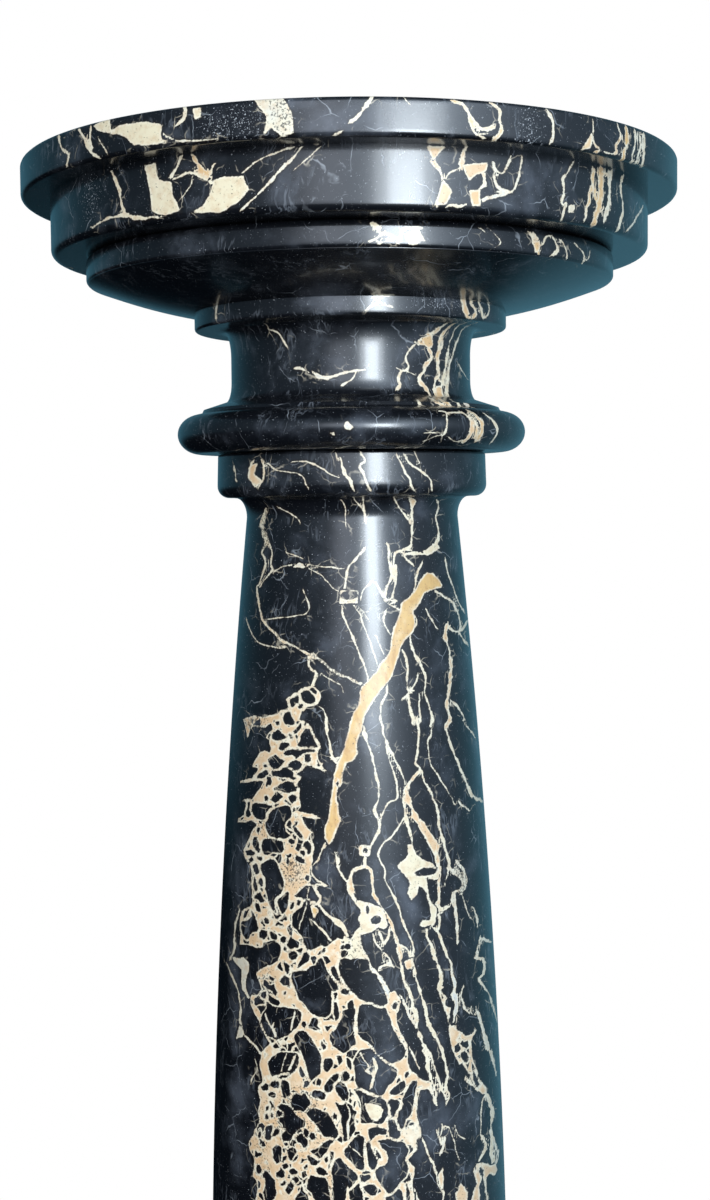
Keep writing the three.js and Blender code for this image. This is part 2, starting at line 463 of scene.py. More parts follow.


# %% [markdown]
# ### Distances on the stone
#
# The class below keeps ten numbers for every point of a block. Three say where the lines are, one where
# the broad patches are, and one which tint the nearest of them has. Three more are soft spots: clouds in
# the black ground, which on the capital also carry a painted reflection sheen, dust in the black ground,
# and dark speckles in the light stone. Lace marks the drawn net, where the shader adds its smallest
# islands. Wild marks where the photograph shows nothing, so that the shader grows veins of its own there,
# and it rises slowly so that drawn veins run on into grown ones.

# %% Values of the veins
PIXEL = 0.4713   # millimetres on the column's axis for one pixel of the photograph
FAR = 9.0        # a distance in millimetres at which nothing shows any more
TINY = 1e-9      # keeps a division off zero
MOST_LEAN = 0.3  # a place seen more slantwise than this counts as seen at this slant
SIDE_START = math.radians(76.0)   # round the side, grown veins set in here
SIDE_END = math.radians(96.0)     # and have their full strength from here on
LAST_ROW = 1197.0                 # down the shaft they set in at this row of the picture
ROWS_TO_FADE = 10.0
WHITE, PALE, CREAM, PEACH, GOLD, OCHRE = 0.0, 0.2, 0.4, 0.6, 0.8, 1.0


# %% The veins of a block
class Veins:
    """The veins of one block, kept as distances in millimetres on its points.

    For lines: side, the signed distance to the line's middle; reach, the plain distance; half the width.
    For regions: the signed distance to the border, negative inside. Tint runs from white to ochre."""

    def __init__(self, block):
        self.block = block
        self.front = int((block.angles < FRONT_HALF).sum())
        self.seen = np.abs(block.turn) < FRONT_HALF
        count = len(block.turn)
        self.side, self.reach, self.region, self.nearest = (np.full(count, FAR) for i in range(4))
        self.half = np.zeros(count)
        self.tint = np.full(count, CREAM)
        self.speckle, self.cloud, self.grain, self.lace = (np.zeros(count) for i in range(4))
        past_side = np.clip((np.abs(block.turn) - SIDE_START) / (SIDE_END - SIDE_START), 0, 1)
        past_foot = np.clip((block.rows - LAST_ROW) / ROWS_TO_FADE, 0, 1)
        self.wild = np.maximum(np.maximum(past_side, past_foot), block.member == "top face")
        arc = block.turn * block.radius
        self.sway, self.rise = bends(arc, block.along, 11), bends(arc, block.along, 13)

    def carry(self, member, route):
        """Where places in the picture lie on a member, or on several joined by and.

        Gives the nearest point of the grid, and the turn and the length along the outline, both refined by
        the grid's slope there: (column, row) = point + u * step to the right + v * step down."""
        block, width = self.block, len(self.block.angles)
        search = np.flatnonzero(self.seen & np.isin(block.member, member.split(" and ")))
        away = np.hypot(block.columns[search] - route[:, :1], block.rows[search] - route[:, 1:2])
        point = search[np.argmin(away, axis=1)]
        right, below = point + 1, point + width
        a, b = block.columns[right] - block.columns[point], block.columns[below] - block.columns[point]
        c, d = block.rows[right] - block.rows[point], block.rows[below] - block.rows[point]
        e, f = route[:, 0] - block.columns[point], route[:, 1] - block.rows[point]
        area = a * d - b * c + TINY
        u, v = np.clip((e * d - b * f) / area, -1, 1), np.clip((a * f - e * c) / area, -1, 1)
        turn = block.turn[point] + u * (block.turn[right] - block.turn[point])
        along = block.along[point] + v * (block.along[below] - block.along[point])
        return point, turn, along

    def spread(self, radius, turn, along, reach):
        """The mesh points within reach of a place, with flat coordinates round it as the camera sees them."""
        block = self.block
        lean = max(math.cos(turn), MOST_LEAN)
        top, foot = np.searchsorted(block.row_along, (along - reach, along + reach))
        swing = reach / (radius * lean)
        left, right = np.searchsorted(block.angles[:self.front], (turn - swing, turn + swing))
        near = (np.arange(top, foot)[:, None] * len(block.angles) + np.arange(left, right)).ravel()
        x = (block.turn[near] - turn) * radius * lean + self.sway[near]
        y = block.along[near] - along + self.rise[near]
        return near, x, y, radius * lean

    def line(self, member, tint, widths, text):
        """A vein along a route. Its widths in pixels are spread evenly over the places of the route."""
        route = places(text)
        share = np.linspace(0, 1, len(route))
        widths = np.interp(share, np.linspace(0, 1, np.size(widths)), np.atleast_1d(widths))
        route = eased(np.column_stack([route, widths]))
        points, turn, along = self.carry(member, route)
        radius = self.block.radius[points]
        for i in range(len(route) - 1):
            run_y = along[i + 1] - along[i]
            run = abs((turn[i + 1] - turn[i]) * radius[i]) + abs(run_y)
            near, x, y, scale = self.spread(radius[i], turn[i], along[i], run + FAR)
            run_x = (turn[i + 1] - turn[i]) * scale
            length = math.hypot(run_x, run_y) + 1e-6
            share = np.clip((x * run_x + y * run_y) / length ** 2, 0, 1)
            half = (route[i, 2] + (route[i + 1, 2] - route[i, 2]) * share) * PIXEL / 2
            reach = np.hypot(x - share * run_x, y - share * run_y)
            left = np.sign(x * run_y - y * run_x + TINY)
            better = reach - half < self.nearest[near]
            chosen = near[better]
            self.reach[chosen] = reach[better]
            self.side[chosen] = (reach * left)[better]
            self.half[chosen] = half[better]
            self.nearest[chosen] = (reach - half)[better]
            self.tint[chosen] = tint

    def patch_distance(self, member, text):
        """Signed distance to a closed shape's border, negative inside, on the points round it."""
        corners = places(text)
        points, turn, along = self.carry(member, corners)
        middle_turn, middle_along = (turn.min() + turn.max()) / 2, (along.min() + along.max()) / 2
        radius = self.block.radius[points].mean()
        size = max(np.ptp(turn) * radius, np.ptp(along)) / 2 + FAR
        near, x, y, scale = self.spread(radius, middle_turn, middle_along, size)
        corner_x, corner_y = (turn - middle_turn) * scale, along - middle_along
        gap, inside = np.full(len(near), 2 * FAR), np.zeros(len(near), bool)
        for i in range(len(points)):
            run_x, run_y = corner_x[i] - corner_x[i - 1], corner_y[i] - corner_y[i - 1]
            off_x, off_y = x - corner_x[i - 1], y - corner_y[i - 1]
            share = np.clip((off_x * run_x + off_y * run_y) / (run_x ** 2 + run_y ** 2 + TINY), 0, 1)
            gap = np.minimum(gap, np.hypot(off_x - share * run_x, off_y - share * run_y))
            crosses = (y < corner_y[i]) != (y < corner_y[i - 1])
            inside ^= crosses & (off_x < off_y * run_x / (run_y if run_y else TINY))
        return near, np.where(inside, -gap, gap)

    def patch(self, member, tint, text):
        """A broad patch of light stone with the given corners."""
        near, gap = self.patch_distance(member, text)
        better = gap < np.minimum(self.nearest[near], FAR)
        self.tint[near[better]] = tint
        self.nearest[near] = np.minimum(self.nearest[near], gap)
        self.region[near] = np.minimum(self.region[near], gap)

    def oval_distance(self, member, oval):
        """Roughly the distance to an oval (column, row, half width, half height, tilt), negative inside.

        With k = |(u / a, v / b)| and m = |(u / a^2, v / b^2)| it is k (k - 1) / m."""
        column, row, wide, high = oval[:4]
        tilt = math.radians(oval[4]) if len(oval) > 4 else 0.0
        wide, high = wide * PIXEL, high * PIXEL
        point, turn, along = self.carry(member, np.array([[column, row]]))
        size = 1.6 * max(wide, high) + FAR
        near, x, y, scale = self.spread(self.block.radius[point[0]], turn[0], along[0], size)
        u = x * math.cos(tilt) + y * math.sin(tilt)
        v = y * math.cos(tilt) - x * math.sin(tilt)
        k = np.hypot(u / wide, v / high)
        m = np.hypot(u / wide ** 2, v / high ** 2)
        return near, k * (k - 1) / np.maximum(m, 1e-3)

    def net(self, member, tint, zone, islands, thinnest=1.1, eaten=0.3):
        """Light stone that fills a zone apart from its dark islands.

        With a and b the distances to the nearest and the second nearest island, the edge is
        min(eaten - a, (b - a - thinnest) / 2): a wall is eaten away from both sides down to its thinnest,
        in millimetres."""
        inside, border = self.patch_distance(member, zone)
        first, second = np.full(len(self.region), -FAR), np.full(len(self.region), 2 * FAR)
        first[inside] = -border
        for island in islands:
            near, gap = self.patch_distance(member, island)
            second[near] = np.minimum(second[near], np.maximum(gap, first[near]))
            first[near] = np.minimum(first[near], gap)
        edge = np.minimum(eaten - first, (second - first - thinnest) / 2)
        self.lace = np.maximum(self.lace, np.clip(first + 1, 0, 1))
        self.tint[edge < self.nearest] = tint
        self.nearest = np.minimum(self.nearest, edge)
        self.region = np.minimum(self.region, edge)

    def hollow(self, member, *ovals):
        """Dark islands cut out of the patches drawn before them."""
        for oval in ovals:
            near, gap = self.oval_distance(member, oval)
            line = self.reach[near] - self.half[near]
            self.region[near] = np.maximum(self.region[near], -gap)
            self.nearest[near] = np.maximum(self.nearest[near], np.minimum(-gap, line))

    def shade(self, field, member, *spots):
        """Adds soft round spots (column, row, half width, half height, tilt, strength) to a field."""
        for spot in spots:
            near, gap = self.oval_distance(member, spot)
            softness = min(spot[2:4]) * PIXEL * 1.4
            field[near] = np.maximum(field[near], spot[5] * np.clip(0.5 - gap / softness, 0, 1))

    def keep(self):
        """Stores the numbers on the block's mesh."""
        numbers = {
            "line_side": np.clip(self.side, -FAR, FAR),
            "line_reach": np.clip(self.reach, 0, FAR),
            "line_half": self.half,
            "region": np.clip(self.region, -FAR, FAR),
            "tint": self.tint,
            "speckle": self.speckle,
            "cloud": self.cloud,
            "grain": self.grain,
            "lace": self.lace,
            "wild": self.wild,
        }
        for name, values in numbers.items():
            self.block.store(name, values)
        inside = int((self.nearest < 0).sum())
        print(self.block.name, "points inside a drawn vein:", inside)


# %% [markdown]
# ### Veins of the capital
#
# Each line below is a tint, a width or several in pixels of the photograph, and the route's places.
# A patch is a tint and its corners. A soft spot is a column, a row, half its width, half its height, a
# tilt in degrees and a strength, and an island cut out of a patch is the same without the strength.
# On the upper slabs the light stone lies in broad cream patches at the left, thin white diagonals in the
# middle and steep gold stripes at the right, where the same layers are cut across.

# %% Veins of the top slab
TOP_SLAB_LINES = (
    (CREAM, 2.5, "59,137 61,147 69,155 67,166"),
    (CREAM, 3, "79,130 85,140 90,151 98,158"),
    (CREAM, 3, "91,128 90,141 93,148"),
    (WHITE, 1, "99,138 103,146 107,154"),
    (PALE, 3, "185,107 185,116 177,125"),
    (WHITE, (2, 1), "163,134 180,141 216,138"),
    (WHITE, (4, 6, 4), "371,97 362,112 351,121"),
    (WHITE, 2, "342,131 334,135"),
    (WHITE, 1.5, "404,98 409,105"),
    (GOLD, (3, 4, 5, 4), "454,101 462,104 467,111 472,122 474,132 483,138"),
    (GOLD, (3, 5, 4, 5), "492,104 499,111 499,120 501,130 494,140"),
    (PEACH, (5, 4), "472,120 481,129 493,127"),
    (WHITE, (2, 4, 3), "548,111 552,120 553,132 551,142"),
    (GOLD, 2.5, "592,120 594,142 601,149 596,152"),
    (GOLD, 3, "617,125 621,137 616,146 617,153 606,153"),
    (OCHRE, 5, "627,128 628,140 622,160"),
    (PALE, 3.5, "635,131 636,142 631,163"),
    (PALE, 2.5, "639,134 641,146 636,163"),
    (CREAM, 3, "643,134 644,154 641,167"),
)
TOP_SLAB_PATCHES = (
    (CREAM, "93,127 113,119 111,130 124,124 148,121 162,125 161,139 175,142 136,146 122,135 102,132"),
    (CREAM, "192,108 201,108 202,117 195,119"),
    (PALE, "253,101 284,99 293,114 294,133 282,136 271,126 262,137 266,116"),
    (GOLD, "592,132 593,139 590,149 579,150"),
)

# %% Veins of the fascia
FASCIA_LINES = (
    (CREAM, 3, "112,172 119,190 125,214 143,219"),
    (CREAM, 2.5, "92,227 109,218 133,217 143,219 165,215"),
    (PALE, 4, "181,158 170,178"),
    (GOLD, 5, "192,156 199,166 210,176"),
    (GOLD, 4, "215,165 210,176"),
    (CREAM, 4, "175,178 190,173 204,178 214,184"),
    (WHITE, 1, "191,176 190,187 179,200"),
    (WHITE, (2, 3, 2), "302,147 284,167 265,187 242,210"),
    (WHITE, 1.2, "294,147 262,158 242,173"),
    (WHITE, 1, "320,147 294,170"),
    (PEACH, (5, 3, 4), "433,160 441,172 443,184 438,205"),
    (GOLD, (4, 6), "467,147 462,156 462,166"),
    (GOLD, 3, "462,166 450,173 447,179"),
    (PEACH, 4, "483,172 485,184 481,189"),
    (CREAM, 3, "448,206 466,205"),
    (WHITE, 2.5, "493,164 495,170 503,172 510,158"),
    (WHITE, 2, "494,175 497,186 512,192 519,175 522,158"),
    (WHITE, 3, "481,201 495,196 512,193"),
    (PALE, (2, 3.5), "573,162 566,174 562,180 564,190 561,199 563,204"),
    (PALE, (3, 2), "565,204 563,212 561,220"),
    (GOLD, 4, "593,169 592,183 588,203 585,220"),
    (OCHRE, 4, "592,178 595,198"),
    (GOLD, (5, 8, 7), "602,170 601,184 599,205 594,224"),
    (PALE, 5, "611,170 609,184 609,203 604,220"),
    (CREAM, 3.5, "623,176 620,187 622,203 622,217 618,230"),
    (WHITE, 1.5, "643,207 627,232"),
)
FASCIA_PATCHES = (
    (CREAM, "145,165 156,163 159,179 171,182 173,196 181,211 165,215 152,212 150,194"),
    (CREAM, "214,180 221,178 242,175 248,189 236,204 221,212 190,213 204,206 210,195"),
    (GOLD, "426,145 448,146 441,151 433,160"),
    (PEACH, "443,179 454,193 448,203 435,206"),
    (PEACH, "462,164 488,163 486,172 479,173 470,181 466,172"),
    (GOLD, "470,190 481,190 480,206 471,206"),
    (PALE, "567,205 575,205 574,213 568,213"),
)

# %% Veins of the third slab, collar, neck and ring
THIRD_SLAB_LINES = (
    (CREAM, (6, 3), "372,224 380,228 374,230"),
    (CREAM, (4, 3), "374,229 384,234 392,236 400,240"),
    (CREAM, 3, "370,242 377,238 384,233"),
    (CREAM, 2, "380,243 390,240 398,243"),
    (WHITE, (3, 4, 5), "400,238 402,231 410,229 419,229"),
    (WHITE, 0.8, "480,228 485,232"),
    (WHITE, 0.8, "491,230 500,241 496,246"),
    (GOLD, (2, 4, 4), "529,233 532,240 538,252"),
    (PEACH, (2, 3, 3), "532,233 537,240 540,248"),
    (CREAM, 2, "551,236 546,238 544,244"),
    (CREAM, (2, 4, 4), "551,236 556,243 558,250 553,255"),
    (CREAM, 2.5, "560,240 565,247 567,257"),
    (CREAM, 2, "575,244 582,251 584,258 582,263"),
    (CREAM, 1.2, "590,251 588,258 584,261"),
)
THIRD_SLAB_PATCHES = (
    (WHITE, "404,235 418,228 425,240 417,245 409,244"),
    (GOLD, "531,242 540,241 540,253 535,253"),
)
COLLAR_LINES = (
    (WHITE, (3, 9, 5), "373,297 382,294 390,290"),
    (WHITE, (2, 5), "365,310 372,305 380,303"),
    (WHITE, (6, 4), "382,294 378,303"),
    (WHITE, 2, "378,304 392,307"),
    (WHITE, 2.5, "217,306 216,318"),
    (GOLD, (4, 5, 6), "463,294 463,305 468,316"),
    (GOLD, (3, 3, 4), "472,296 471,304 475,310 473,317"),
    (CREAM, (2, 3), "478,298 480,306 483,318"),
    (CREAM, (1.5, 2.5), "486,298 489,306 488,313 484,318"),
)
COLLAR_PATCHES = (
    (GOLD, "461,296 466,295 466,305 470,313 467,317 462,312"),
)
NECK_LINES = (
    (WHITE, (1, 2, 2), "269,329 279,333 284,341 288,348"),
    (WHITE, (3, 4, 2), "296,369 302,369 308,372"),
    (WHITE, (2, 5, 3, 2), "313,372 320,376 327,377 338,374 350,371 364,370"),
    (WHITE, (2, 3), "355,371 351,380 343,385"),
    (CREAM, 2.5, "418,342 409,350 406,357 409,366 407,370 401,372 398,379 400,384 397,389"),
    (GOLD, (3, 5, 4, 5, 3), "418,342 428,336 436,331 446,324"),
    (PEACH, 4, "420,343 428,346 431,352 431,359 425,365 423,372 419,376 420,382 425,388 430,396"),
    (GOLD, (2, 4, 3, 5, 4, 5), "456,323 446,330 441,338 440,348 438,358 438,368 439,374 435,381 "
     "434,390 438,399"),
    (GOLD, (2, 3, 3), "442,338 443,345 440,352"),
    (CREAM, (1.5, 3, 3), "472,321 459,326 452,335 449,345 447,358 446,368 444,378 441,388 444,399"),
    (CREAM, (1, 2, 3, 3), "478,322 464,329 457,339 454,349 451,360 449,371 448,382 446,390 449,399"),
    (WHITE, 0.8, "459,366 464,373 468,380"),
    (WHITE, 0.7, "397,368 412,373 418,377"),
)
NECK_PATCHES = (
    (GOLD, "420,338 432,334 434,344 430,349 424,345"),
    (GOLD, "435,386 442,385 445,399 437,398"),
)
SHOULDER_LINES = (
    (CREAM, 3, "417,400 422,407"),
    (PEACH, 5, "430,398 440,404 448,409"),
    (GOLD, 4, "440,399 452,408"),
    (CREAM, 3, "450,399 462,408"),
    (WHITE, 2.5, "466,404 471,408"),
)
RING_LINES = (
    (PALE, 3, "440,411 446,413 447,421 446,431 444,434"),
    (CREAM, (3, 2), "446,413 457,412 464,413"),
    (PEACH, (3, 5, 4, 5), "462,412 470,418 472,425 471,433 468,438 464,441"),
    (WHITE, 0.8, "448,437 455,441 462,443"),
    (WHITE, 1, "444,433 435,437 424,441"),
    (GOLD, (3, 6, 6, 5), "468,410 478,417 482,425 481,433 477,440"),
    (GOLD, (2, 3, 3), "470,414 476,422 477,430 475,437"),
    (CREAM, (1, 3, 3, 2), "484,413 492,420 497,428 496,436 491,443"),
    (WHITE, 1.2, "425,433 436,432"),
)
RING_PATCHES = (
    (WHITE, "344,423 348,421 354,427 350,431 344,430"),
    (WHITE, "331,432 334,431 334,435 331,434"),
)

# %% Soft spots of the capital
# These spots are partly clouds in the stone and partly painted reflection sheen: the broad ones left of the
# middle of each member put pale grey into the colour where the polish reflects a glow.
CAPITAL_CLOUDS_AND_SHEEN = (
    ("top slab", (172, 135, 12, 8, 0, 0.8), (300, 104, 16, 7, 0, 0.6), (330, 118, 34, 14, 0, 0.45)),
    ("fascia", (289, 190, 16, 16, 0, 0.7), (536, 182, 14, 26, 0, 0.5), (70, 205, 20, 20, 0, 0.2)),
    ("third slab", (340, 232, 30, 9, 0, 0.3), (470, 236, 26, 9, 0, 0.35)),
    ("collar", (328, 300, 34, 10, 0, 0.9), (438, 303, 26, 9, 0, 0.5)),
    ("neck", (330, 352, 34, 24, 0, 0.35), (420, 362, 14, 20, 0, 0.4)),
    ("ring", (300, 425, 60, 8, 0, 0.3), (425, 425, 20, 8, 0, 0.45)),
)
CAPITAL_DUST = (
    ("top slab", (235, 122, 30, 15, 0, 1.0), (530, 124, 10, 20, 0, 1.0), (275, 118, 20, 18, 0, 0.7)),
    ("fascia", (91, 198, 9, 18, 0, 0.9), (160, 195, 14, 20, 0, 0.4)),
    ("collar", (440, 302, 22, 9, 0, 0.9)),
)
SPECKLED_PATCH = (284, 116, 13, 16, 0, 0.8)

# %% Veins set on the capital
CAPITAL_LINES = {"top slab": TOP_SLAB_LINES, "fascia": FASCIA_LINES, "third slab": THIRD_SLAB_LINES,
                 "collar": COLLAR_LINES, "neck": NECK_LINES, "shoulder": SHOULDER_LINES, "ring": RING_LINES}
CAPITAL_PATCHES = {"top slab": TOP_SLAB_PATCHES, "fascia": FASCIA_PATCHES, "third slab": THIRD_SLAB_PATCHES,
                   "collar": COLLAR_PATCHES, "neck": NECK_PATCHES, "ring": RING_PATCHES}

capital_veins = Veins(capital)
for member, *spots in CAPITAL_CLOUDS_AND_SHEEN:
    # clouds and painted reflection sheen go into one stored field
    capital_veins.shade(capital_veins.cloud, member, *spots)
for member, *spots in CAPITAL_DUST:
    capital_veins.shade(capital_veins.grain, member, *spots)
capital_veins.shade(capital_veins.speckle, "top slab", SPECKLED_PATCH)
for member, patches in CAPITAL_PATCHES.items():
    for tint, corners in patches:
        capital_veins.patch(member, tint, corners)
for member, lines in CAPITAL_LINES.items():
    for tint, widths, route in lines:
        capital_veins.line(member, tint, widths, route)
capital_veins.keep()

# %% [markdown]
# ### Veins of the shaft
#
# An ochre band crosses the upper shaft slantwise. Left of it hangs a net of peach coloured stone with
# dark islands in its meshes, and right of it thin strands run down side by side. The strands could be
# grown by a texture, but the eye follows them from end to end, so each has a route of its own.

# %% Veins of the band and the upper shaft
BAND_LINES = (
    (CREAM, (3, 2), "234,468 236,480"),
    (PEACH, 2.5, "262,461 264,470 263,478 259,487"),
    (CREAM, 3, "253,462 249,472 252,480 257,488"),
    (WHITE, (1, 1.5, 1), "268,463 275,470 286,472 296,474 303,479 307,488"),
    (WHITE, (1, 1.5, 1), "292,462 307,462 319,467 328,473 338,478"),
    (WHITE, 2, "337,454 338,459"),
    (CREAM, (2, 4, 3, 2), "342,460 343,468 345,475 351,482 354,489"),
    (CREAM, (3, 3, 2), "361,454 365,461 360,466 363,474 365,479 370,490"),
    (CREAM, 3, "397,454 402,465 406,474 410,480 414,490"),
    (CREAM, 2.5, "404,454 408,462 417,468 424,473 431,481 432,490"),
    (WHITE, 1.5, "415,454 420,463"),
    (WHITE, (2, 3), "486,464 488,476"),
)
BAND_PATCHES = (
    (PEACH, "250,465 258,463 255,474 262,482 256,488 248,478"),
)
UPPER_SHAFT_LINES = (
    (CREAM, 5, "266,511 262,526 266,542"),
    (CREAM, 2, "266,544 262,553 265,561 263,574 258,586"),
    (CREAM, 2, "269,544 272,555 271,565 273,571 266,578 259,588"),
    (GOLD, (2, 2, 3, 4), "257,588 257,597 260,609 263,620 271,630 282,641 296,647 307,653 315,658"),
    (WHITE, 1.5, "247,620 252,635 261,643 280,647 292,645"),
    (WHITE, 1.2, "274,572 284,566 300,564 309,568 322,576 334,588 342,593"),
    (WHITE, 1, "307,564 322,566 344,569"),
    (WHITE, 0.9, "287,552 303,558"),
    (WHITE, 0.9, "278,507 296,517 300,522"),
    (WHITE, 0.8, "342,501 345,509 346,528"),
    (WHITE, 1.2, "304,591 309,607 305,614 296,616 269,620"),
    (CREAM, 2.5, "363,496 363,507 366,522"),
    (CREAM, 2, "351,496 363,509"),
    (CREAM, 2.5, "364,549 355,560 349,568 346,580 344,589"),
    (CREAM, (2, 3, 2), "361,599 362,591 368,586 373,582 380,589 386,601 395,607 401,610"),
    (CREAM, 2, "342,603 343,614 351,633 359,651 364,666 368,681 363,691"),
    (WHITE, 1.5, "353,603 361,616 366,633 372,649 376,662 378,670"),
    (WHITE, 1.2, "375,637 384,654"),
    (WHITE, 1, "357,603 370,620"),
    (CREAM, 2.5, "412,508 412,528 411,545"),
    (CREAM, 1.8, "394,498 399,507 408,519 410,524"),
    (CREAM, (2, 2, 3, 5, 2), "437,500 439,507 435,519 439,536 435,545 426,553 414,553 403,555"),
    (CREAM, 3, "411,545 407,549 395,553 393,563 393,572 388,586 386,597 395,601"),
    (CREAM, 3, "396,566 395,586 392,599"),
    (CREAM, 3, "387,545 389,557 391,570"),
    (CREAM, 2, "403,555 412,565"),
    (PEACH, 2.5, "422,561 418,572 416,584 414,595"),
    (CREAM, 3, "412,609 416,624 410,635 414,654 422,666 426,681 424,693 428,702 433,718 431,725"),
    (CREAM, 2.5, "403,651 407,662 408,674 407,689 412,691"),
    (CREAM, 2, "418,674 416,681 410,691 403,699"),
    (CREAM, 2.5, "408,695 412,723"),
    (CREAM, 2, "419,694 420,723"),
    (CREAM, 2.5, "386,679 387,693 382,702 380,716 383,727"),
    (CREAM, 2, "386,610 384,620 389,635"),
    (PALE, 2.5, "436,591 449,599 454,605 460,622 458,632"),
    (WHITE, 1.5, "445,559 449,576 456,597 464,612"),
    (CREAM, 3, "468,620 458,632 447,626"),
    (PEACH, (4, 5, 4), "447,624 445,637 449,649 451,672 449,693 447,702 451,718 446,727"),
    (CREAM, 2, "458,632 468,645"),
    (CREAM, 2, "451,700 460,710 468,725"),
    (WHITE, 1.5, "426,609 437,628"),
    (CREAM, (2, 3, 3, 5), "309,653 310,666 317,674 314,682 311,689"),
    (PALE, 3, "315,654 330,668 345,677 361,685"),
    (WHITE, 1, "322,674 340,685 343,693"),
    (CREAM, (2, 3), "315,705 324,710 327,721 326,728"),
)
OCHRE_BAND = (
    "428,572 424,575 419,583 415,591 408,598 401,603 400,613 397,620 393,628 391,636 391,645 388,655 381,663 "
    "376,671 369,680 361,687 360,695 358,704 353,714 349,726 347,738 342,752 338,765 334,775 333,790 331,800 "
    "330,810 328,818 325,828 325,838 329,845 333,838 337,829 341,822 339,810 337,800 338,790 343,783 344,772 "
    "347,762 352,761 358,753 357,742 361,733 362,724 364,715 372,703 379,693 386,684 391,677 395,668 398,658 "
    "401,650 404,641 410,636 414,630 415,622 414,611 420,604 424,594 432,591 437,588 444,588 438,578 433,573")
OCHRE_BAND_TAIL = (GOLD, (2, 1), "326,842 318,859 312,865")
UPPER_SHAFT_PATCHES = (
    (WHITE, "292,567 300,562 308,569"),
    (PEACH, "408,497 417,501 412,511"),
    (CREAM, "438,542 440,548 427,556 420,552"),
    (PEACH, "340,590 358,590 358,603 340,603"),
)

# %% Strands of the middle and lower shaft
MIDDLE_STRANDS = (
    (CREAM, (3, 2.5, 5), "326,720 327,730 330,745 333,758 338,764"),
    (WHITE, 3, "332,760 340,757"),
    (GOLD, (4, 6), "338,764 340,772 336,782"),
    (CREAM, 3, "362,726 373,761 378,781 379,798 374,810 380,822 378,834 371,846"),
    (CREAM, 4, "365,853 365,867"),
    (GOLD, (5, 4, 4, 3), "353,889 350,877 355,870 365,867 371,871 373,883 375,895 382,908 390,922 394,932 "
     "400,949 402,959"),
    (CREAM, 4, "347,881 351,891 357,902 363,910 365,920 363,928"),
    (CREAM, 2.5, "335,853 339,869 346,881"),
    (CREAM, 2.5, "381,720 385,738 396,761 404,781 404,802 405,812 408,828 412,846 413,859"),
    (CREAM, 2, "385,738 390,761 396,781 397,798 388,804 382,816 381,822"),
    (CREAM, 2, "404,818 394,834 382,846 379,857 385,871 386,881 394,895 404,924 412,942 414,959"),
    (CREAM, 2.5, "416,720 419,732 418,751 416,763 420,769 424,781 435,802 438,822 442,836 449,861"),
    (WHITE, (2, 1), "431,720 432,734 428,742 431,765 445,787 455,804"),
    (PEACH, (3, 7, 5, 3), "420,769 412,779 406,787 406,793 416,816 422,830 435,842 437,859 439,875 439,904"),
    (CREAM, 3, "447,724 447,732 455,755 465,779 471,795 482,802"),
    (PALE, 1.5, "463,720 475,738"),
    (CREAM, 4, "434,845 436,856 437,866"),
    (PALE, 2, "443,840 446,852 449,862 448,872 445,885"),
    (PALE, (4, 5, 6, 4, 3), "449,868 455,873 461,878 464,884 461,890 455,892 454,900 456,915 "
     "457,930 457,943"),
    (PALE, 3.5, "457,862 463,870 466,880 464,887"),
    (PALE, 1.5, "461,893 465,905 470,918"),
    (PALE, 2, "472,907 476,914 477,927"),
    (CREAM, 4, "437,905 441,910 447,907"),
    (CREAM, 2.5, "438,915 439,925 438,932"),
    (CREAM, 3, "427,928 428,938 433,948 437,960"),
    (CREAM, 3, "432,925 440,935 443,945 448,957"),
    (PALE, 2.5, "480,938 477,948 476,957"),
    (PALE, 2.5, "480,938 491,942"),
    (WHITE, (3, 4, 5, 4), "364,952 368,960 371,968 378,974 383,982 387,991 389,998"),
    (CREAM, 2.5, "401,946 407,949 410,956 413,965 414,975"),
    (PALE, 2, "373,934 375,943 380,949 385,953 389,960 390,966"),
    (WHITE, 3, "380,968 390,965 393,967"),
    (PALE, 1.5, "382,952 383,960 385,966"),
    (CREAM, 2.5, "378,930 381,938 384,944 388,938 389,930"),
    (PALE, 2, "459,802 469,810"),
    (CREAM, 2, "480,940 478,959"),
    (CREAM, (3, 2, 5, 3), "319,905 325,912 332,918 338,922 344,928 347,938"),
    (WHITE, (1.5, 1), "310,886 307,900 303,915 299,930"),
    (CREAM, (1.5, 2, 3), "312,920 320,927 326,933 331,941"),
    (WHITE, 1.5, "337,853 340,864"),
)
MIDDLE_PATCHES = (
    (CREAM, "400,862 408,855 407,845 412,845 416,855 422,860 430,862 434,866 438,870 440,878 434,880 426,878 "
     "428,884 432,895 435,905 438,910 436,916 434,925 420,926 421,920 430,920 431,915 429,905 "
     "426,893 423,888 "
     "418,886 417,893 412,900 408,893 410,884 408,879 402,873 398,866"),
    (OCHRE, "309,903 320,910 314,919"),
    (PEACH, "357,845 372,845 370,856 359,855"),
    (PEACH, "415,814 424,822 437,842 437,860 428,845"),
    (CREAM, "357,900 368,903 380,907 385,914 388,925 384,930 378,927 372,932 360,934 361,942 364,952 368,960 "
     "362,958 350,960 343,958 347,950 342,945 344,935 350,940 354,933 360,925 358,918 361,912 357,905"),
    (PEACH, "404,962 413,958 414,970 406,970"),
)
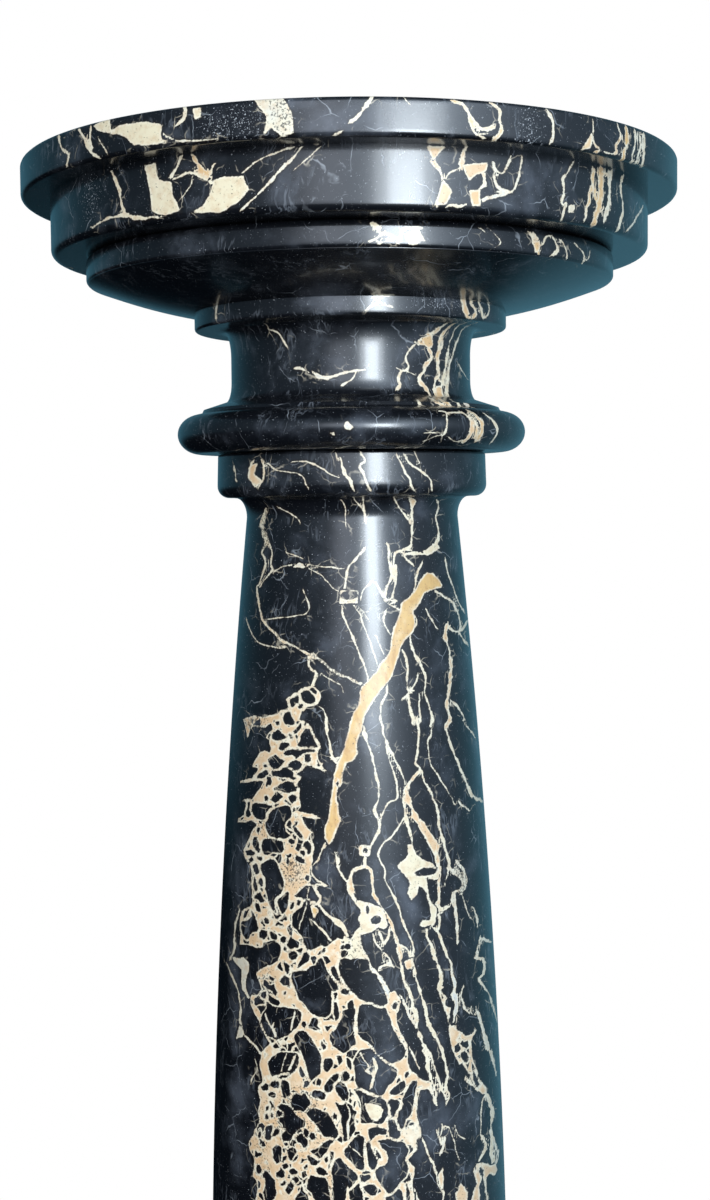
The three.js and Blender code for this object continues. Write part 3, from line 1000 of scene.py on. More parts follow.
LOWER_STRANDS = (
    (CREAM, (2.5, 3, 4, 5, 3, 2.5, 2), "398,950 401,965 404,980 409,992 413,1005 417,1018 419,1030 423,1042 "
     "428,1052 433,1062 437,1075 440,1086 444,1095 446,1104"),
    (CREAM, (2, 3, 3, 4, 3, 3, 2), "412,950 414,965 417,980 421,993 425,1008 428,1022 434,1034 440,1046 "
     "445,1060 447,1075 446,1086 449,1095 446,1104"),
    (CREAM, (4, 5, 4, 5, 4), "432,950 436,960 439,970 440,980 440,990"),
    (WHITE, (2, 2, 3, 4, 4, 3), "445,950 450,962 452,974 455,985 453,993 456,1001 456,1012 454,1022"),
    (WHITE, (3, 3, 2), "401,996 405,1005 409,1014 415,1024 420,1036 423,1045 427,1051"),
    (CREAM, (3, 5, 4, 4), "423,1050 426,1056 428,1066 430,1080 434,1092 436,1102"),
    (PALE, 2, "409,1046 414,1055 418,1068"),
    (WHITE, 2, "361,1054 365,1061 369,1068 366,1070"),
    (CREAM, 3, "373,1060 376,1068 373,1078 371,1088"),
    (WHITE, 3, "366,1071 373,1075"),
    (PALE, (1.5, 2, 1.5), "463,987 461,995 463,1005 467,1012 470,1014"),
    (PALE, 1.5, "471,1008 472,1013 475,1014"),
    (PALE, (2, 3, 4, 6, 3, 3), "476,1008 479,1016 482,1026 485,1036 488,1046 491,1052 493,1062 496,1074"),
    (CREAM, (3, 3, 4, 4, 2, 2, 2, 1.5), "477,950 478,957 483,960 484,968 482,976 478,979 483,986 488,993 "
     "492,1002 495,1013 497,1022"),
    (CREAM, (4, 5, 5, 4), "486,1094 490,1102 492,1112 491,1125 492,1138 491,1150 493,1163"),
    (PALE, 1.5, "483,1098 481,1115 481,1135 483,1143"),
    (CREAM, 3, "482,1137 486,1145 484,1152 480,1160"),
    (PALE, 3, "494,1138 497,1150 498,1158 495,1165"),
    (CREAM, (2, 2, 3, 3, 4, 2), "421,1138 426,1148 430,1158 434,1166 437,1176 440,1186 444,1192 443,1198"),
    (PALE, 1.5, "442,1125 446,1127 450,1129 453,1140 456,1150 459,1158"),
    (PALE, 1.5, "442,1126 441,1134"),
    (PALE, 1.5, "437,1132 440,1140 441,1145"),
    (WHITE, 3, "444,1139 443,1147 441,1154"),
    (PALE, 1.5, "455,1125 458,1135 464,1139"),
    (PALE, 2, "413,1188 418,1200"),
    (WHITE, 1.5, "295,1010 293,1020 291,1031"),
    (WHITE, (1, 2, 3, 2), "265,1012 268,1022 272,1028 275,1033 276,1039"),
    (WHITE, 2, "272,1028 274,1024"),
    (WHITE, 1.5, "287,1052 284,1062 281,1072"),
    (WHITE, 2.5, "296,1053 292,1063 289,1072"),
    (WHITE, 2.5, "346,1100 349,1110 350,1117 348,1124 348,1134 348,1144"),
    (PALE, 1.2, "350,1148 356,1152 361,1157"),
    (PALE, (2, 3, 2.5), "228,965 233,978 238,990 240,1002 240,1020 243,1033 249,1040 256,1047 261,1054"),
    (PALE, (1.5, 2), "240,910 236,922 234,936 235,948 230,960"),
    (PALE, 1, "256,1060 257,1068 253,1076 251,1083"),
)
LOWER_PATCHES = (
    (CREAM, "365,1103 373,1104 380,1106 383,1110 381,1117 376,1121 371,1120 367,1113 366,1108"),
    (PEACH, "476,1162 481,1162 490,1166 496,1163 498,1170 494,1175 489,1174 486,1178 487,1190 "
     "490,1206 487,1206 "
     "485,1190 484,1178 484,1170 480,1166 480,1172 483,1177 480,1185 480,1206 470,1206 474,1192 477,1183 "
     "475,1176 472,1170 475,1168 478,1172"),
    (PEACH, "459,1181 465,1186 468,1192 467,1206 458,1206 455,1194 459,1190"),
    (PEACH, "442,1168 444,1180 443,1190 440,1186 438,1176"),
    (PALE, "232,957 243,957 248,964 248,972 246,982 248,992 252,1000 247,996 243,990 241,980 "
     "241,970 236,964"),
    (PALE, "240,1024 244,1032 243,1037 236,1039"),
)

# %% [markdown]
# ### The nets
#
# At the lower left the black stone was shattered, and calcite filled the cracks between its pieces. So it
# is easier to draw the pieces than the veins: a net is one zone, and each dark island in it has its own
# corners. What is left between two islands is a wall. A small net of the same kind lies at the lower
# right. The left one's ragged foot runs on below the picture, where grown veins take over, so that it
# doesn't end in a straight line.

# %% The right net
RIGHT_NET = (
    "438,985 441,985 446,987 442,990 446,994 449,997 446,1001 447,1005 452,1007 451,1012 450,1020 452,1025 "
    "456,1024 456,1015 459,1014 458,1022 457,1028 462,1032 466,1035 471,1034 474,1029 473,1023 477,1029 "
    "474,1036 472,1042 472,1052 474,1062 477,1070 480,1077 485,1085 487,1090 487,1096 482,1095 476,1090 "
    "470,1085 464,1080 466,1074 471,1080 470,1075 467,1070 462,1064 459,1066 455,1058 451,1050 449,1040 "
    "448,1030 447,1020 445,1012 442,1003 440,996 438,990")
RIGHT_ISLANDS = (
    "460,1044 462,1041 465,1043 468,1042 469,1046 466,1048",
    "461,1054 464,1051 467,1053 469,1058 468,1062 464,1060",
    "473,1072 477,1080 480,1086 477,1085 473,1078")

# %% Zone of the left net
LEFT_NET = (
    "306,688 310,686 315,686 319,690 321,694 321,699 317,704 313,706 306,708 302,713 300,719 304,720 "
    "308,724 312,727 314,732 318,739 321,744 322,748 318,750 318,757 320,762 324,761 322,765 325,770 "
    "330,773 324,773 318,769 311,766 306,766 303,769 299,771 297,774 302,776 301,780 298,784 296,786 "
    "299,789 301,794 301,801 302,806 299,811 305,812 312,813 319,816 324,818 319,819 308,819 303,818 "
    "306,824 309,829 316,833 311,834 313,840 314,850 313,860 312,866 313,873 318,880 326,884 332,888 "
    "324,888 316,886 319,892 322,899 319,905 314,903 309,901 303,903 302,908 296,912 293,917 293,925 "
    "297,930 301,934 304,940 304,950 309,952 313,948 320,945 326,947 331,941 338,937 344,940 347,946 "
    "349,953 346,959 341,961 339,967 344,980 350,991 357,998 365,1000 374,1004 381,1006 387,1003 386,997 "
    "388,992 396,990 400,996 402,1001 399,1008 396,1014 398,1024 402,1034 407,1042 409,1050 409,1062 "
    "411,1070 418,1075 424,1080 431,1082 436,1102 431,1096 427,1089 420,1091 418,1101 417,1112 419,1124 "
    "421,1134 421,1140 418,1134 414,1126 410,1128 405,1134 411,1142 415,1150 413,1156 408,1160 414,1168 "
    "414,1176 413,1186 416,1206 410,1232 400,1212 392,1250 382,1216 368,1262 356,1222 344,1278 330,1232 "
    "316,1290 302,1240 290,1282 276,1228 266,1262 255,1210 255,1200 257,1190 256,1181 252,1178 252,1172 "
    "254,1165 253,1158 249,1150 248,1142 252,1135 256,1126 259,1120 258,1110 260,1100 258,1092 258,1086 "
    "262,1082 261,1074 259,1066 261,1058 260,1052 264,1047 269,1043 266,1038 262,1030 259,1022 254,1014 "
    "251,1006 250,998 252,994 258,994 262,990 260,985 257,977 255,972 260,968 270,964 277,961 280,955 "
    "281,948 278,943 270,941 264,943 264,947 256,948 248,946 239,946 240,937 240,925 240,916 244,909 "
    "250,906 252,903 252,895 251,885 252,872 249,864 244,857 243,850 247,843 249,836 252,829 256,824 "
    "251,821 244,823 237,823 238,818 244,814 246,808 246,803 241,801 244,799 251,799 256,794 261,786 "
    "263,782 255,782 247,783 240,784 240,781 247,778 256,777 252,778 256,773 258,769 252,767 254,762 "
    "257,757 260,751 265,750 269,752 271,748 269,741 265,738 268,732 272,728 270,724 265,728 260,728 "
    "254,726 251,730 248,741 246,730 244,723 242,719 247,717 254,715 262,717 268,714 276,713 281,711 "
    "288,709 287,703 285,699 291,697 297,693 301,691")

# %% Islands of the left net
UPPER_ISLANDS = (
    "301,694 303,691 308,690 311,693 315,698 315,703 311,704 305,702 301,700",
    "289,698 294,695 299,695 301,699 299,702 295,704 292,708 290,703",
    "299,708 299,705 302,704 302,709",
    "284,722 282,718 285,713 290,712 291,717 294,722 293,725 289,724 285,724",
    "281,716 280,712 283,712",
    "276,724 275,721 278,721 278,724",
    "292,733 295,730 299,725 301,723 299,729 296,733 293,734",
    "303,723 306,724 307,726 304,726",
    "301,742 302,735 305,730 309,729 311,732 314,739 318,746 311,747 303,748 297,749 299,745",
    "272,738 273,733 277,730 280,732 282,735 288,737 289,741 284,741 276,741",
    "288,736 290,733 292,737 292,740 289,739",
    "280,749 281,744 285,742 289,744 290,748 287,748 283,750",
    "284,752 288,750 293,749 300,750 310,749 316,749 313,751 304,752 300,755 297,757 293,754 289,755 285,755",
    "269,760 272,757 276,755 280,759 284,761 282,765 279,768 274,769 271,765",
    "264,764 266,764 268,767 265,767",
    "290,763 295,761 300,762 302,765 300,769 295,770 290,767 288,765",
    "272,771 278,771 284,768 288,768 293,771 293,776 296,779 289,778 281,777 273,776",
    "262,773 267,770 268,773 264,778 256,778",
    "274,789 278,786 286,783 293,783 296,786 299,788 297,791 290,793 285,793 281,791 277,790",
    "273,797 276,793 279,794 282,797 278,800 275,802 272,800",
    "288,797 292,795 297,796 296,800 292,803 289,800",
    "265,796 268,796 268,801 265,801",
    "252,805 256,803 262,804 266,804 268,806 272,806 274,807 269,810 266,813 266,818 260,820 255,817 252,811",
    "270,814 272,811 277,809 283,806 287,806 290,809 291,815 287,820 284,824 285,830 290,835 288,838 282,839 "
    "274,838 270,835 266,829 265,822 268,820",
    "247,802 250,802 249,810 250,815 246,816 247,809",
    "295,822 298,822 297,824",
    "293,826 297,829 301,835 302,839 299,836 295,831",
    "257,828 259,829 258,833 256,831")
MIDDLE_ISLANDS = (
    "262,843 265,840 272,840 280,840 283,843 284,848 282,852 278,853 272,852 268,855 263,853 261,848",
    "253,838 256,838 259,844 261,851 258,853 255,848 253,843",
    "289,842 291,839 294,841 292,844",
    "303,845 306,841 308,841 311,846 311,853 308,854 306,849",
    "301,850 305,852 303,856 300,854",
    "296,857 300,856 304,860 304,863 300,862 297,861",
    "247,843 249,841 249,845 247,846",
    "246,851 250,850 255,853 252,855 247,854",
    "256,857 260,856 263,858 260,860",
    "249,860 252,858 254,860 252,863",
    "253,864 256,863 258,868 258,873 256,873 254,868",
    "261,863 265,862 271,860 275,861 278,866 280,873 283,882 282,890 280,894 277,895 274,899 274,905 276,913 "
    "272,908 269,903 267,896 265,890 265,883 263,875 261,868",
    "259,879 262,878 264,882 263,886 260,887 258,883",
    "254,877 256,882 258,889 256,891 254,886",
    "254,897 257,893 260,892 262,897 264,901 261,902 258,898",
    "255,903 258,904 260,909 260,912 257,911",
    "278,901 280,898 283,896 287,893 288,899 289,904 287,908 283,914 281,910 279,905",
    "291,903 293,902 294,906 292,909",
    "297,901 299,901 299,905 297,906",
    "295,896 299,893 302,890 306,886 312,887 315,894 318,898 319,902 317,904 312,902 309,900 304,899 298,897",
    "288,928 290,926 292,930 291,935 289,933",
    "264,919 267,917 269,921 268,924 265,923",
    "260,932 263,931 267,931 266,935 263,939 260,937",
    "270,931 273,933 276,934 278,937 274,939 270,937",
    "280,938 283,936 286,938 287,943 284,944 281,941",
    "288,941 291,938 294,940 299,943 298,948 294,947 292,950 289,948 287,945",
    "284,948 287,948 288,952 285,951",
    "290,955 293,952 298,955 296,959 292,960 290,958",
    "242,922 247,920 252,917 251,910 253,914 256,922 258,930 252,932 248,936 246,939 243,934 242,928",
    "243,911 249,909 246,915 244,917",
    "304,946 308,950 309,956 307,961 301,967 297,967 302,961 304,954",
    "331,968 335,967 338,975 342,983 341,985 337,981 333,974")
LOWER_ISLANDS = (
    "291,971 300,971 307,971 311,967 316,966 318,960 321,957 323,962 326,970 331,978 337,984 339,989 335,991 "
    "331,990 330,995 332,1003 330,1012 326,1017 320,1016 313,1014 309,1010 305,1004 299,999 297,993 294,985 "
    "292,977",
    "285,963 288,966 291,968 291,973 288,974 286,970",
    "281,981 284,975 288,978 290,983 290,988 288,985 284,985",
    "264,980 267,982 270,987 274,985 275,989 278,994 276,996 272,991 268,988 264,984",
    "284,992 286,992 285,995",
    "262,993 266,991 266,996 264,999 261,996",
    "262,1017 264,1013 267,1007 267,1002 271,1005 277,1008 285,1008 293,1009 297,1010 300,1014 299,1022 "
    "296,1027 292,1032 284,1037 277,1040 272,1037 266,1034 262,1024",
    "311,1020 315,1018 319,1021 317,1026 320,1030 316,1030 312,1028 308,1027 311,1023",
    "334,1002 337,1003 338,1010 338,1018 336,1020 334,1014",
    "321,1040 324,1044 326,1047 323,1049",
    "342,992 346,987 350,991 352,994 347,994",
    "344,1011 349,1010 348,1003 352,1001 353,1006 354,1014 353,1028 353,1038 356,1044 352,1046 348,1050 "
    "343,1052 338,1049 333,1045 330,1038 331,1033 338,1026 343,1018",
    "296,1036 299,1032 306,1033 311,1039 315,1046 320,1055 321,1062 321,1072 316,1076 311,1080 308,1073 "
    "305,1063 302,1052 297,1043 295,1039",
    "324,1062 325,1058 330,1058 333,1061 331,1066 328,1071 325,1068",
    "337,1057 340,1056 342,1061 339,1063",
    "346,1058 349,1060 352,1066 351,1069 348,1065",
    "272,1044 276,1043 279,1047 275,1048 272,1046",
    "269,1062 273,1057 277,1054 283,1052 289,1052 297,1053 298,1058 296,1065 292,1073 287,1073 280,1073 "
    "277,1076 272,1077 270,1071",
    "300,1067 303,1071 305,1076 301,1075 299,1071",
    "305,1081 308,1080 310,1082 307,1086 304,1086",
    "273,1079 278,1076 288,1075 290,1077 285,1078 279,1079",
    "261,1086 264,1083 267,1084 267,1088 264,1090",
    "270,1084 273,1081 278,1083 278,1087 274,1087",
    "281,1083 284,1081 289,1083 290,1090 289,1095 284,1097 283,1092 281,1087",
    "319,1079 322,1080 320,1086 317,1085",
    "325,1088 329,1081 333,1076 339,1073 339,1079 334,1083 332,1089 329,1092 326,1091",
    "341,1073 345,1071 350,1076 346,1082 342,1080",
    "268,1094 271,1092 274,1093 275,1096 273,1098 270,1096",
    "267,1107 269,1106 269,1111 267,1112",
    "270,1101 272,1103 274,1108 272,1108",
    "271,1113 273,1113 273,1118 271,1118",
    "266,1114 269,1114 269,1119 266,1119",
    "291,1098 296,1094 301,1096 305,1093 308,1099 311,1103 307,1107 303,1110 299,1108 294,1109 290,1105",
    "278,1108 281,1104 286,1105 290,1108 294,1113 298,1118 303,1121 304,1125 300,1127 296,1130 293,1135 "
    "290,1140 284,1140 282,1135 286,1131 288,1128 284,1127 283,1123 279,1121 280,1118 285,1117 284,1112",
    "307,1113 312,1109 316,1109 321,1111 327,1113 330,1118 334,1124 338,1131 338,1135 335,1139 330,1137 "
    "325,1135 320,1129 316,1123 311,1118",
    "312,1093 316,1091 321,1092 326,1095 324,1099 318,1098 313,1096",
    "334,1086 338,1082 344,1084 348,1092 348,1100 345,1102 341,1097 337,1092",
    "334,1113 337,1115 337,1120 334,1118",
    "266,1129 268,1126 272,1126 272,1132 271,1139 267,1141 265,1138 267,1134",
    "275,1131 278,1129 280,1131 277,1135 274,1137",
    "260,1129 261,1133 260,1138 258,1137",
    "297,1138 301,1134 303,1138 306,1140 307,1145 304,1147 301,1143 298,1142",
    "311,1134 314,1134 315,1138 312,1140 310,1138",
    "274,1150 278,1146 281,1148 281,1154 280,1161 277,1163 274,1158",
    "288,1150 292,1147 296,1150 294,1155 291,1160 289,1156",
    "310,1150 316,1150 320,1148 324,1144 327,1142 332,1139 334,1142 330,1144 327,1150 324,1154 321,1159 "
    "318,1156 313,1153",
    "308,1156 312,1158 316,1160 320,1161 317,1164 312,1164 309,1161",
    "325,1158 328,1156 330,1160 327,1163",
    "331,1152 334,1152 333,1157 332,1163 329,1168 330,1160",
    "282,1166 286,1163 288,1166 284,1169",
    "289,1171 293,1169 297,1172 296,1175 292,1175",
    "292,1177 296,1177 298,1181 295,1183",
    "285,1181 287,1183 284,1186 281,1186",
    "285,1190 288,1185 292,1182 293,1186 291,1192 288,1194",
    "304,1168 307,1165 307,1169",
    "316,1169 320,1167 325,1170 327,1174 322,1175 318,1173",
    "256,1166 259,1166 261,1171 260,1175 257,1172",
    "262,1174 266,1171 270,1175 274,1180 275,1188 277,1193 274,1196 270,1206 266,1206 264,1192 266,1184 "
    "265,1178 262,1178",
    "308,1181 311,1177 318,1177 325,1179 327,1184 328,1190 330,1196 331,1206 318,1206 314,1198 312,1193 "
    "307,1189",
    "295,1199 300,1193 302,1187 303,1192 307,1197 310,1206 296,1206")
CENTRE_ISLANDS = (
    "359,1008 362,1005 370,1004 378,1008 386,1009 387,1015 390,1022 392,1030 395,1033 398,1040 402,1044 "
    "405,1050 404,1056 400,1060 394,1062 390,1064 385,1061 379,1056 374,1048 368,1042 361,1038 358,1033 "
    "357,1022 358,1014",
    "397,1004 395,1009 393,1007 395,1002",
    "357,1056 362,1050 370,1050 376,1055 382,1061 390,1066 396,1070 395,1076 391,1082 386,1087 384,1093 "
    "380,1096 374,1094 366,1090 359,1087 356,1082 356,1075 355,1068 354,1060",
    "355,1090 362,1091 370,1096 378,1098 386,1102 389,1107 389,1115 386,1120 381,1123 372,1123 362,1122 "
    "362,1112 362,1105 359,1094",
    "390,1092 394,1088 400,1082 404,1081 405,1086 402,1090 396,1094 391,1095",
    "405,1073 408,1071 408,1075 405,1077",
    "412,1082 416,1081 416,1086 414,1094 412,1104 411,1112 408,1116 405,1120 404,1126 402,1130 398,1128 "
    "398,1120 399,1114 402,1108 403,1100 406,1092 410,1086",
    "388,1102 391,1099 397,1101 401,1104 399,1108 395,1112 393,1118 391,1115 390,1108",
    "336,1103 340,1105 343,1105 345,1102 348,1103 352,1106 352,1110 357,1112 354,1116 354,1124 355,1130 "
    "352,1134 349,1139 344,1141 343,1133 343,1125 342,1117 340,1110",
    "351,1143 355,1138 359,1136 363,1139 364,1143 362,1150 362,1158 363,1170 358,1169 354,1164 349,1159 "
    "345,1154 344,1150 348,1147",
    "337,1160 340,1158 344,1164 350,1170 356,1175 358,1180 354,1184 350,1188 348,1186 346,1182 346,1192 "
    "343,1206 336,1206 332,1196 334,1186 333,1178 332,1170 334,1164",
    "366,1144 369,1142 370,1148 373,1154 376,1162 375,1166 372,1170 368,1166 367,1158 366,1150",
    "374,1148 377,1151 380,1156 381,1160 378,1158 375,1153",
    "361,1176 364,1177 369,1175 371,1178 368,1180 364,1183 362,1181",
    "363,1187 369,1185 374,1185 378,1190 376,1195 372,1196 367,1191",
    "350,1192 356,1188 361,1184 360,1190 362,1194 363,1206 350,1206",
    "378,1141 388,1140 398,1141 404,1143 408,1150 405,1156 403,1160 406,1165 407,1170 405,1177 401,1181 "
    "397,1186 393,1191 388,1194 386,1189 382,1184 378,1178 375,1172 378,1169 384,1167 388,1163 390,1157 "
    "387,1151 382,1147",
    "368,1130 376,1128 383,1129 388,1131 386,1134 378,1133 373,1137 371,1140 369,1136",
    "389,1120 394,1121 398,1124 399,1130 401,1134 397,1139 390,1136 388,1131 389,1126",
    "411,1123 414,1123 417,1128 419,1134 418,1142 416,1150 414,1147 411,1140 406,1135 408,1131",
    "386,1197 392,1196 398,1190 401,1194 404,1206 388,1206",
    "406,1184 408,1190 410,1206 407,1200")

# %% [markdown]
# ### Drawing the shaft
#
# Soft spots come first: pale clouds in the black, and places where dark specks crowd the light stone.
# Then the nets are set and patches, the ochre band and lines go over them. A dark island inside a patch
# is cut out of it before the lines, so that a line may still cross it.

# %% Soft spots and islands of the shaft
SHAFT_CLOUDS = (
    (380, 1068, 26, 24, 0, 0.9), (405, 890, 9, 26, -20, 0.8), (372, 730, 10, 18, 0, 0.7),
    (358, 935, 14, 24, 0, 0.5), (430, 1130, 24, 40, -15, 0.45), (340, 920, 20, 14, 0, 0.4),
    (256, 722, 10, 8, 0, 0.6), (455, 590, 10, 40, 0, 0.35), (390, 1165, 18, 22, 0, 0.45),
    (465, 1130, 20, 50, 0, 0.35), (312, 1006, 12, 8, 0, 0.4), (236, 1000, 12, 60, 0, 0.7),
    (236, 1120, 12, 60, 0, 0.7), (240, 880, 10, 50, 0, 0.6), (380, 480, 60, 30, 0, 0.4),
    (330, 880, 14, 40, 0, 0.4), (410, 970, 10, 60, -10, 0.5),
)
SHAFT_SPECKLES = (
    (292, 872, 12, 15, 0, 1.0), (300, 1104, 20, 14, 0, 1.0), (290, 1122, 18, 16, 0, 1.0),
    (305, 1136, 16, 12, 0, 0.8), (256, 724, 12, 9, 0, 1.0), (262, 830, 10, 10, 0, 0.7),
    (266, 530, 7, 24, 0, 1.0), (285, 645, 26, 12, 30, 0.8), (335, 670, 30, 10, 25, 1.0),
    (460, 880, 8, 16, 0, 1.0), (264, 985, 12, 14, 0, 0.7), (356, 945, 10, 16, 0, 0.5),
    (262, 1140, 10, 40, 0, 0.5), (330, 1185, 8, 10, 0, 0.8),
)
NET_BELOW_PICTURE = (335, 1330, 100, 170, 0, 1.0)
SHAFT_HOLLOWS = (
    (349, 595, 8, 4), (338, 783, 1.5, 3), (426, 872, 11, 4), (432, 893, 3, 13, -10), (376, 920, 5, 4),
    (367, 910, 1.5, 4), (348, 947, 3, 3), (343, 948, 2.5, 2), (365, 850, 3, 2.5),
)
SHAFT_PATCHES = UPPER_SHAFT_PATCHES + MIDDLE_PATCHES + LOWER_PATCHES + ((OCHRE, OCHRE_BAND),)
SHAFT_LINES = UPPER_SHAFT_LINES + MIDDLE_STRANDS + LOWER_STRANDS + (OCHRE_BAND_TAIL,)

# %% Veins set on the shaft
SIDE = "hollow and shaft"

shaft_veins = Veins(shaft)
shaft_veins.shade(shaft_veins.cloud, SIDE, *SHAFT_CLOUDS)
shaft_veins.shade(shaft_veins.speckle, SIDE, *SHAFT_SPECKLES)
shaft_veins.net(SIDE, PEACH, LEFT_NET, UPPER_ISLANDS + MIDDLE_ISLANDS + LOWER_ISLANDS + CENTRE_ISLANDS)
shaft_veins.shade(shaft_veins.lace, SIDE, NET_BELOW_PICTURE)
shaft_veins.net(SIDE, PEACH, RIGHT_NET, RIGHT_ISLANDS)
for tint, corners in SHAFT_PATCHES:
    shaft_veins.patch(SIDE, tint, corners)
shaft_veins.hollow(SIDE, *SHAFT_HOLLOWS)
for tint, corners in BAND_PATCHES:
    shaft_veins.patch("band", tint, corners)
for tint, widths, route in SHAFT_LINES:
    shaft_veins.line(SIDE, tint, widths, route)
for tint, widths, route in BAND_LINES:
    shaft_veins.line("band", tint, widths, route)
shaft_veins.keep()

# %% The base
# No vein is drawn on the base. Its numbers only let the grown veins through.
base_veins = Veins(base)
base_veins.keep()


# %% [markdown]
# ## Polished stone
#
# Shader maths reads best as arithmetic, so a small class wraps a socket and gives it Python's
# operators. Each operation adds one Math node.

# %% Shader expressions
class Value:
    """A socket that carries a number. The operators + - * and ** on it add Math nodes."""

    def __init__(self, recipe, socket):
        self.recipe, self.socket = recipe, socket

    def math(self, operation, *others):
        """Any other Math node, by its operation, with this number first."""
        return self.recipe.math(operation, self, *others)

    def __add__(self, other):
        return self.math("ADD", other)

    def __sub__(self, other):
        return self.math("SUBTRACT", other)

    def __mul__(self, other):
        return self.math("MULTIPLY", other)

    def __pow__(self, other):
        return self.math("POWER", other)

    def __rsub__(self, other):
        return self.recipe.math("SUBTRACT", other, self)

    __radd__ = __add__
    __rmul__ = __mul__


# %% A recipe of nodes
class Recipe:
    """A node tree with one method for any node, and short names for the few that come up often."""

    def __init__(self, tree):
        self.tree = tree

    def plug(self, value, socket):
        """Links a value or a node's socket to an input, or sets a plain number or colour on it."""
        source = value.socket if isinstance(value, Value) else value
        if isinstance(source, bpy.types.NodeSocket):
            self.tree.links.new(source, socket)
        else:
            socket.default_value = source

    def node(self, kind, settings=None, inputs=None):
        """Any node: its type, its settings, and values or links for its sockets by name or number."""
        made = self.tree.nodes.new(kind)
        for name, setting in (settings or {}).items():
            setattr(made, name, setting)
        for name, value in (inputs or {}).items():
            self.plug(value, made.inputs[name])
        return made

    def math(self, operation, *values):
        """One Math node, by its operation."""
        made = self.node("ShaderNodeMath", {"operation": operation}, dict(enumerate(values)))
        return Value(self, made.outputs[0])

    def vector(self, operation, *values):
        """One Vector Math node, by its operation. It gives the node, because some give a number."""
        return self.node("ShaderNodeVectorMath", {"operation": operation}, dict(enumerate(values)))

    def ramp(self, value, low, high):
        """0 below low, 1 above high, and a smooth step between."""
        made = self.node("ShaderNodeMapRange", {"interpolation_type": "SMOOTHSTEP"},
                         {"Value": value, "From Min": low, "From Max": high})
        return Value(self, made.outputs["Result"])

    def mix(self, factor, first, second, blend="MIX"):
        """Two colours mixed by a factor."""
        made = self.node("ShaderNodeMix", {"data_type": "RGBA", "blend_type": blend})
        for socket, value in zip(made.inputs[0:1] + made.inputs[6:8], (factor, first, second)):
            self.plug(value, socket)
        return made.outputs[2]


# %% [markdown]
# ### Textures with sizes in millimetres
#
# Noise makes clouds and breaks up edges. Walls between cells make nets and cracks. Both look too regular
# as they come, so the place where they are read is first moved by noise, as the stone itself flowed.
# They are read in the block's own space: a pattern runs through the block and stays put in every view.

# %% Stone textures
class Stone(Recipe):
    """A stone material: textures in the block's own space, with sizes in millimetres."""

    def __init__(self, name):
        self.material = bpy.data.materials.new(name)
        self.material.use_nodes = True
        super().__init__(self.material.node_tree)
        self.shader = self.tree.nodes["Principled BSDF"]
        self.position = self.node("ShaderNodeTexCoord").outputs["Object"]

    def stored(self, name):
        """A number stored on the mesh under this name."""
        return Value(self, self.node("ShaderNodeAttribute", {"attribute_name": name}).outputs["Fac"])

    def noise(self, size, detail=2.0, roughness=0.5, place=None):
        """Fractal noise about 0, from -0.5 to 0.5, with features of the given size."""
        made = self.node("ShaderNodeTexNoise", None, {"Vector": place or self.position,
                         "Scale": 1 / (size * MM), "Detail": detail, "Roughness": roughness})
        return Value(self, made.outputs["Fac"]) - 0.5

    def warped(self, size, amount):
        """The place moved by noise, as the stone flowed before it set."""
        made = self.node("ShaderNodeTexNoise", None,
                         {"Vector": self.position, "Scale": 1 / (size * MM), "Detail": 2.0})
        shift = self.vector("SUBTRACT", made.outputs["Color"], (0.5, 0.5, 0.5)).outputs[0]
        shift = self.vector("MULTIPLY", shift, (amount * MM,) * 3).outputs[0]
        return self.vector("ADD", self.position, shift).outputs[0]

    def upright(self, place, share):
        """A place with its height scaled down, which draws a texture out along the column."""
        return self.vector("MULTIPLY", place, (1, 1, share)).outputs[0]

    def cells(self, size, place):
        """Distance in millimetres to the wall between two cells of the given size."""
        made = self.node("ShaderNodeTexVoronoi", {"feature": "DISTANCE_TO_EDGE"},
                         {"Vector": place, "Scale": 1 / (size * MM)})
        return Value(self, made.outputs["Distance"]) * size

    def thick_walls(self, size, place, thin, swell, blot, low, high):
        """Distance to walls with a body: thin, and swollen where noise of size blot is high."""
        swollen = self.ramp(self.noise(blot), low, high) * swell
        return self.cells(size, place) - thin - swollen


# %% Colours of the stone
def colour(red, green, blue):
    """An everyday screen colour of 0 to 255, as the linear numbers that a shader takes."""
    linear = [((c / 255 + 0.055) / 1.055) ** 2.4 for c in (red, green, blue)]
    return (*linear, 1.0)


BLACK_GROUND = colour(13, 15, 19)
CLOUD_AND_SHEEN_GREY = colour(92, 98, 108)
WISP_GREY = colour(112, 118, 126)
CRACK_GREY = colour(150, 156, 162)
DUST_GREY = colour(176, 180, 184)
HALO_BROWN = colour(30, 24, 20)
BARB_CREAM = colour(186, 176, 156)

WHITE_STONE = colour(192, 192, 184)
CREAM_STONE = colour(208, 198, 170)
PEACH_STONE = colour(206, 174, 136)
OCHRE_STONE = colour(200, 166, 108)
RIM_CREAM = colour(216, 208, 186)
MOTTLE_BROWN = colour(178, 142, 100)
BLOT_CREAM = colour(220, 212, 192)
STREAK_OCHRE = colour(168, 124, 72)
SPECK_BLACK = colour(40, 38, 36)

# %% [markdown]
# ### Where the light stone lies
#
# The real stone is a nearly black limestone whose cracks filled with calcite. The shader first works out
# one number, the edge: the distance in millimetres to the nearest light stone, negative inside it.
#
# Drawn veins take it from the stored distances, which broad noise roughens. Inside the drawn nets, warped
# cells add the smallest islands. Where nothing could be read off the photograph, veins are grown: long
# strands are the walls of large cells drawn out along the column, and nets are the walls of small ones,
# each let in only where slow noise is high. Both kinds meet in a plain minimum, so they join like veins.

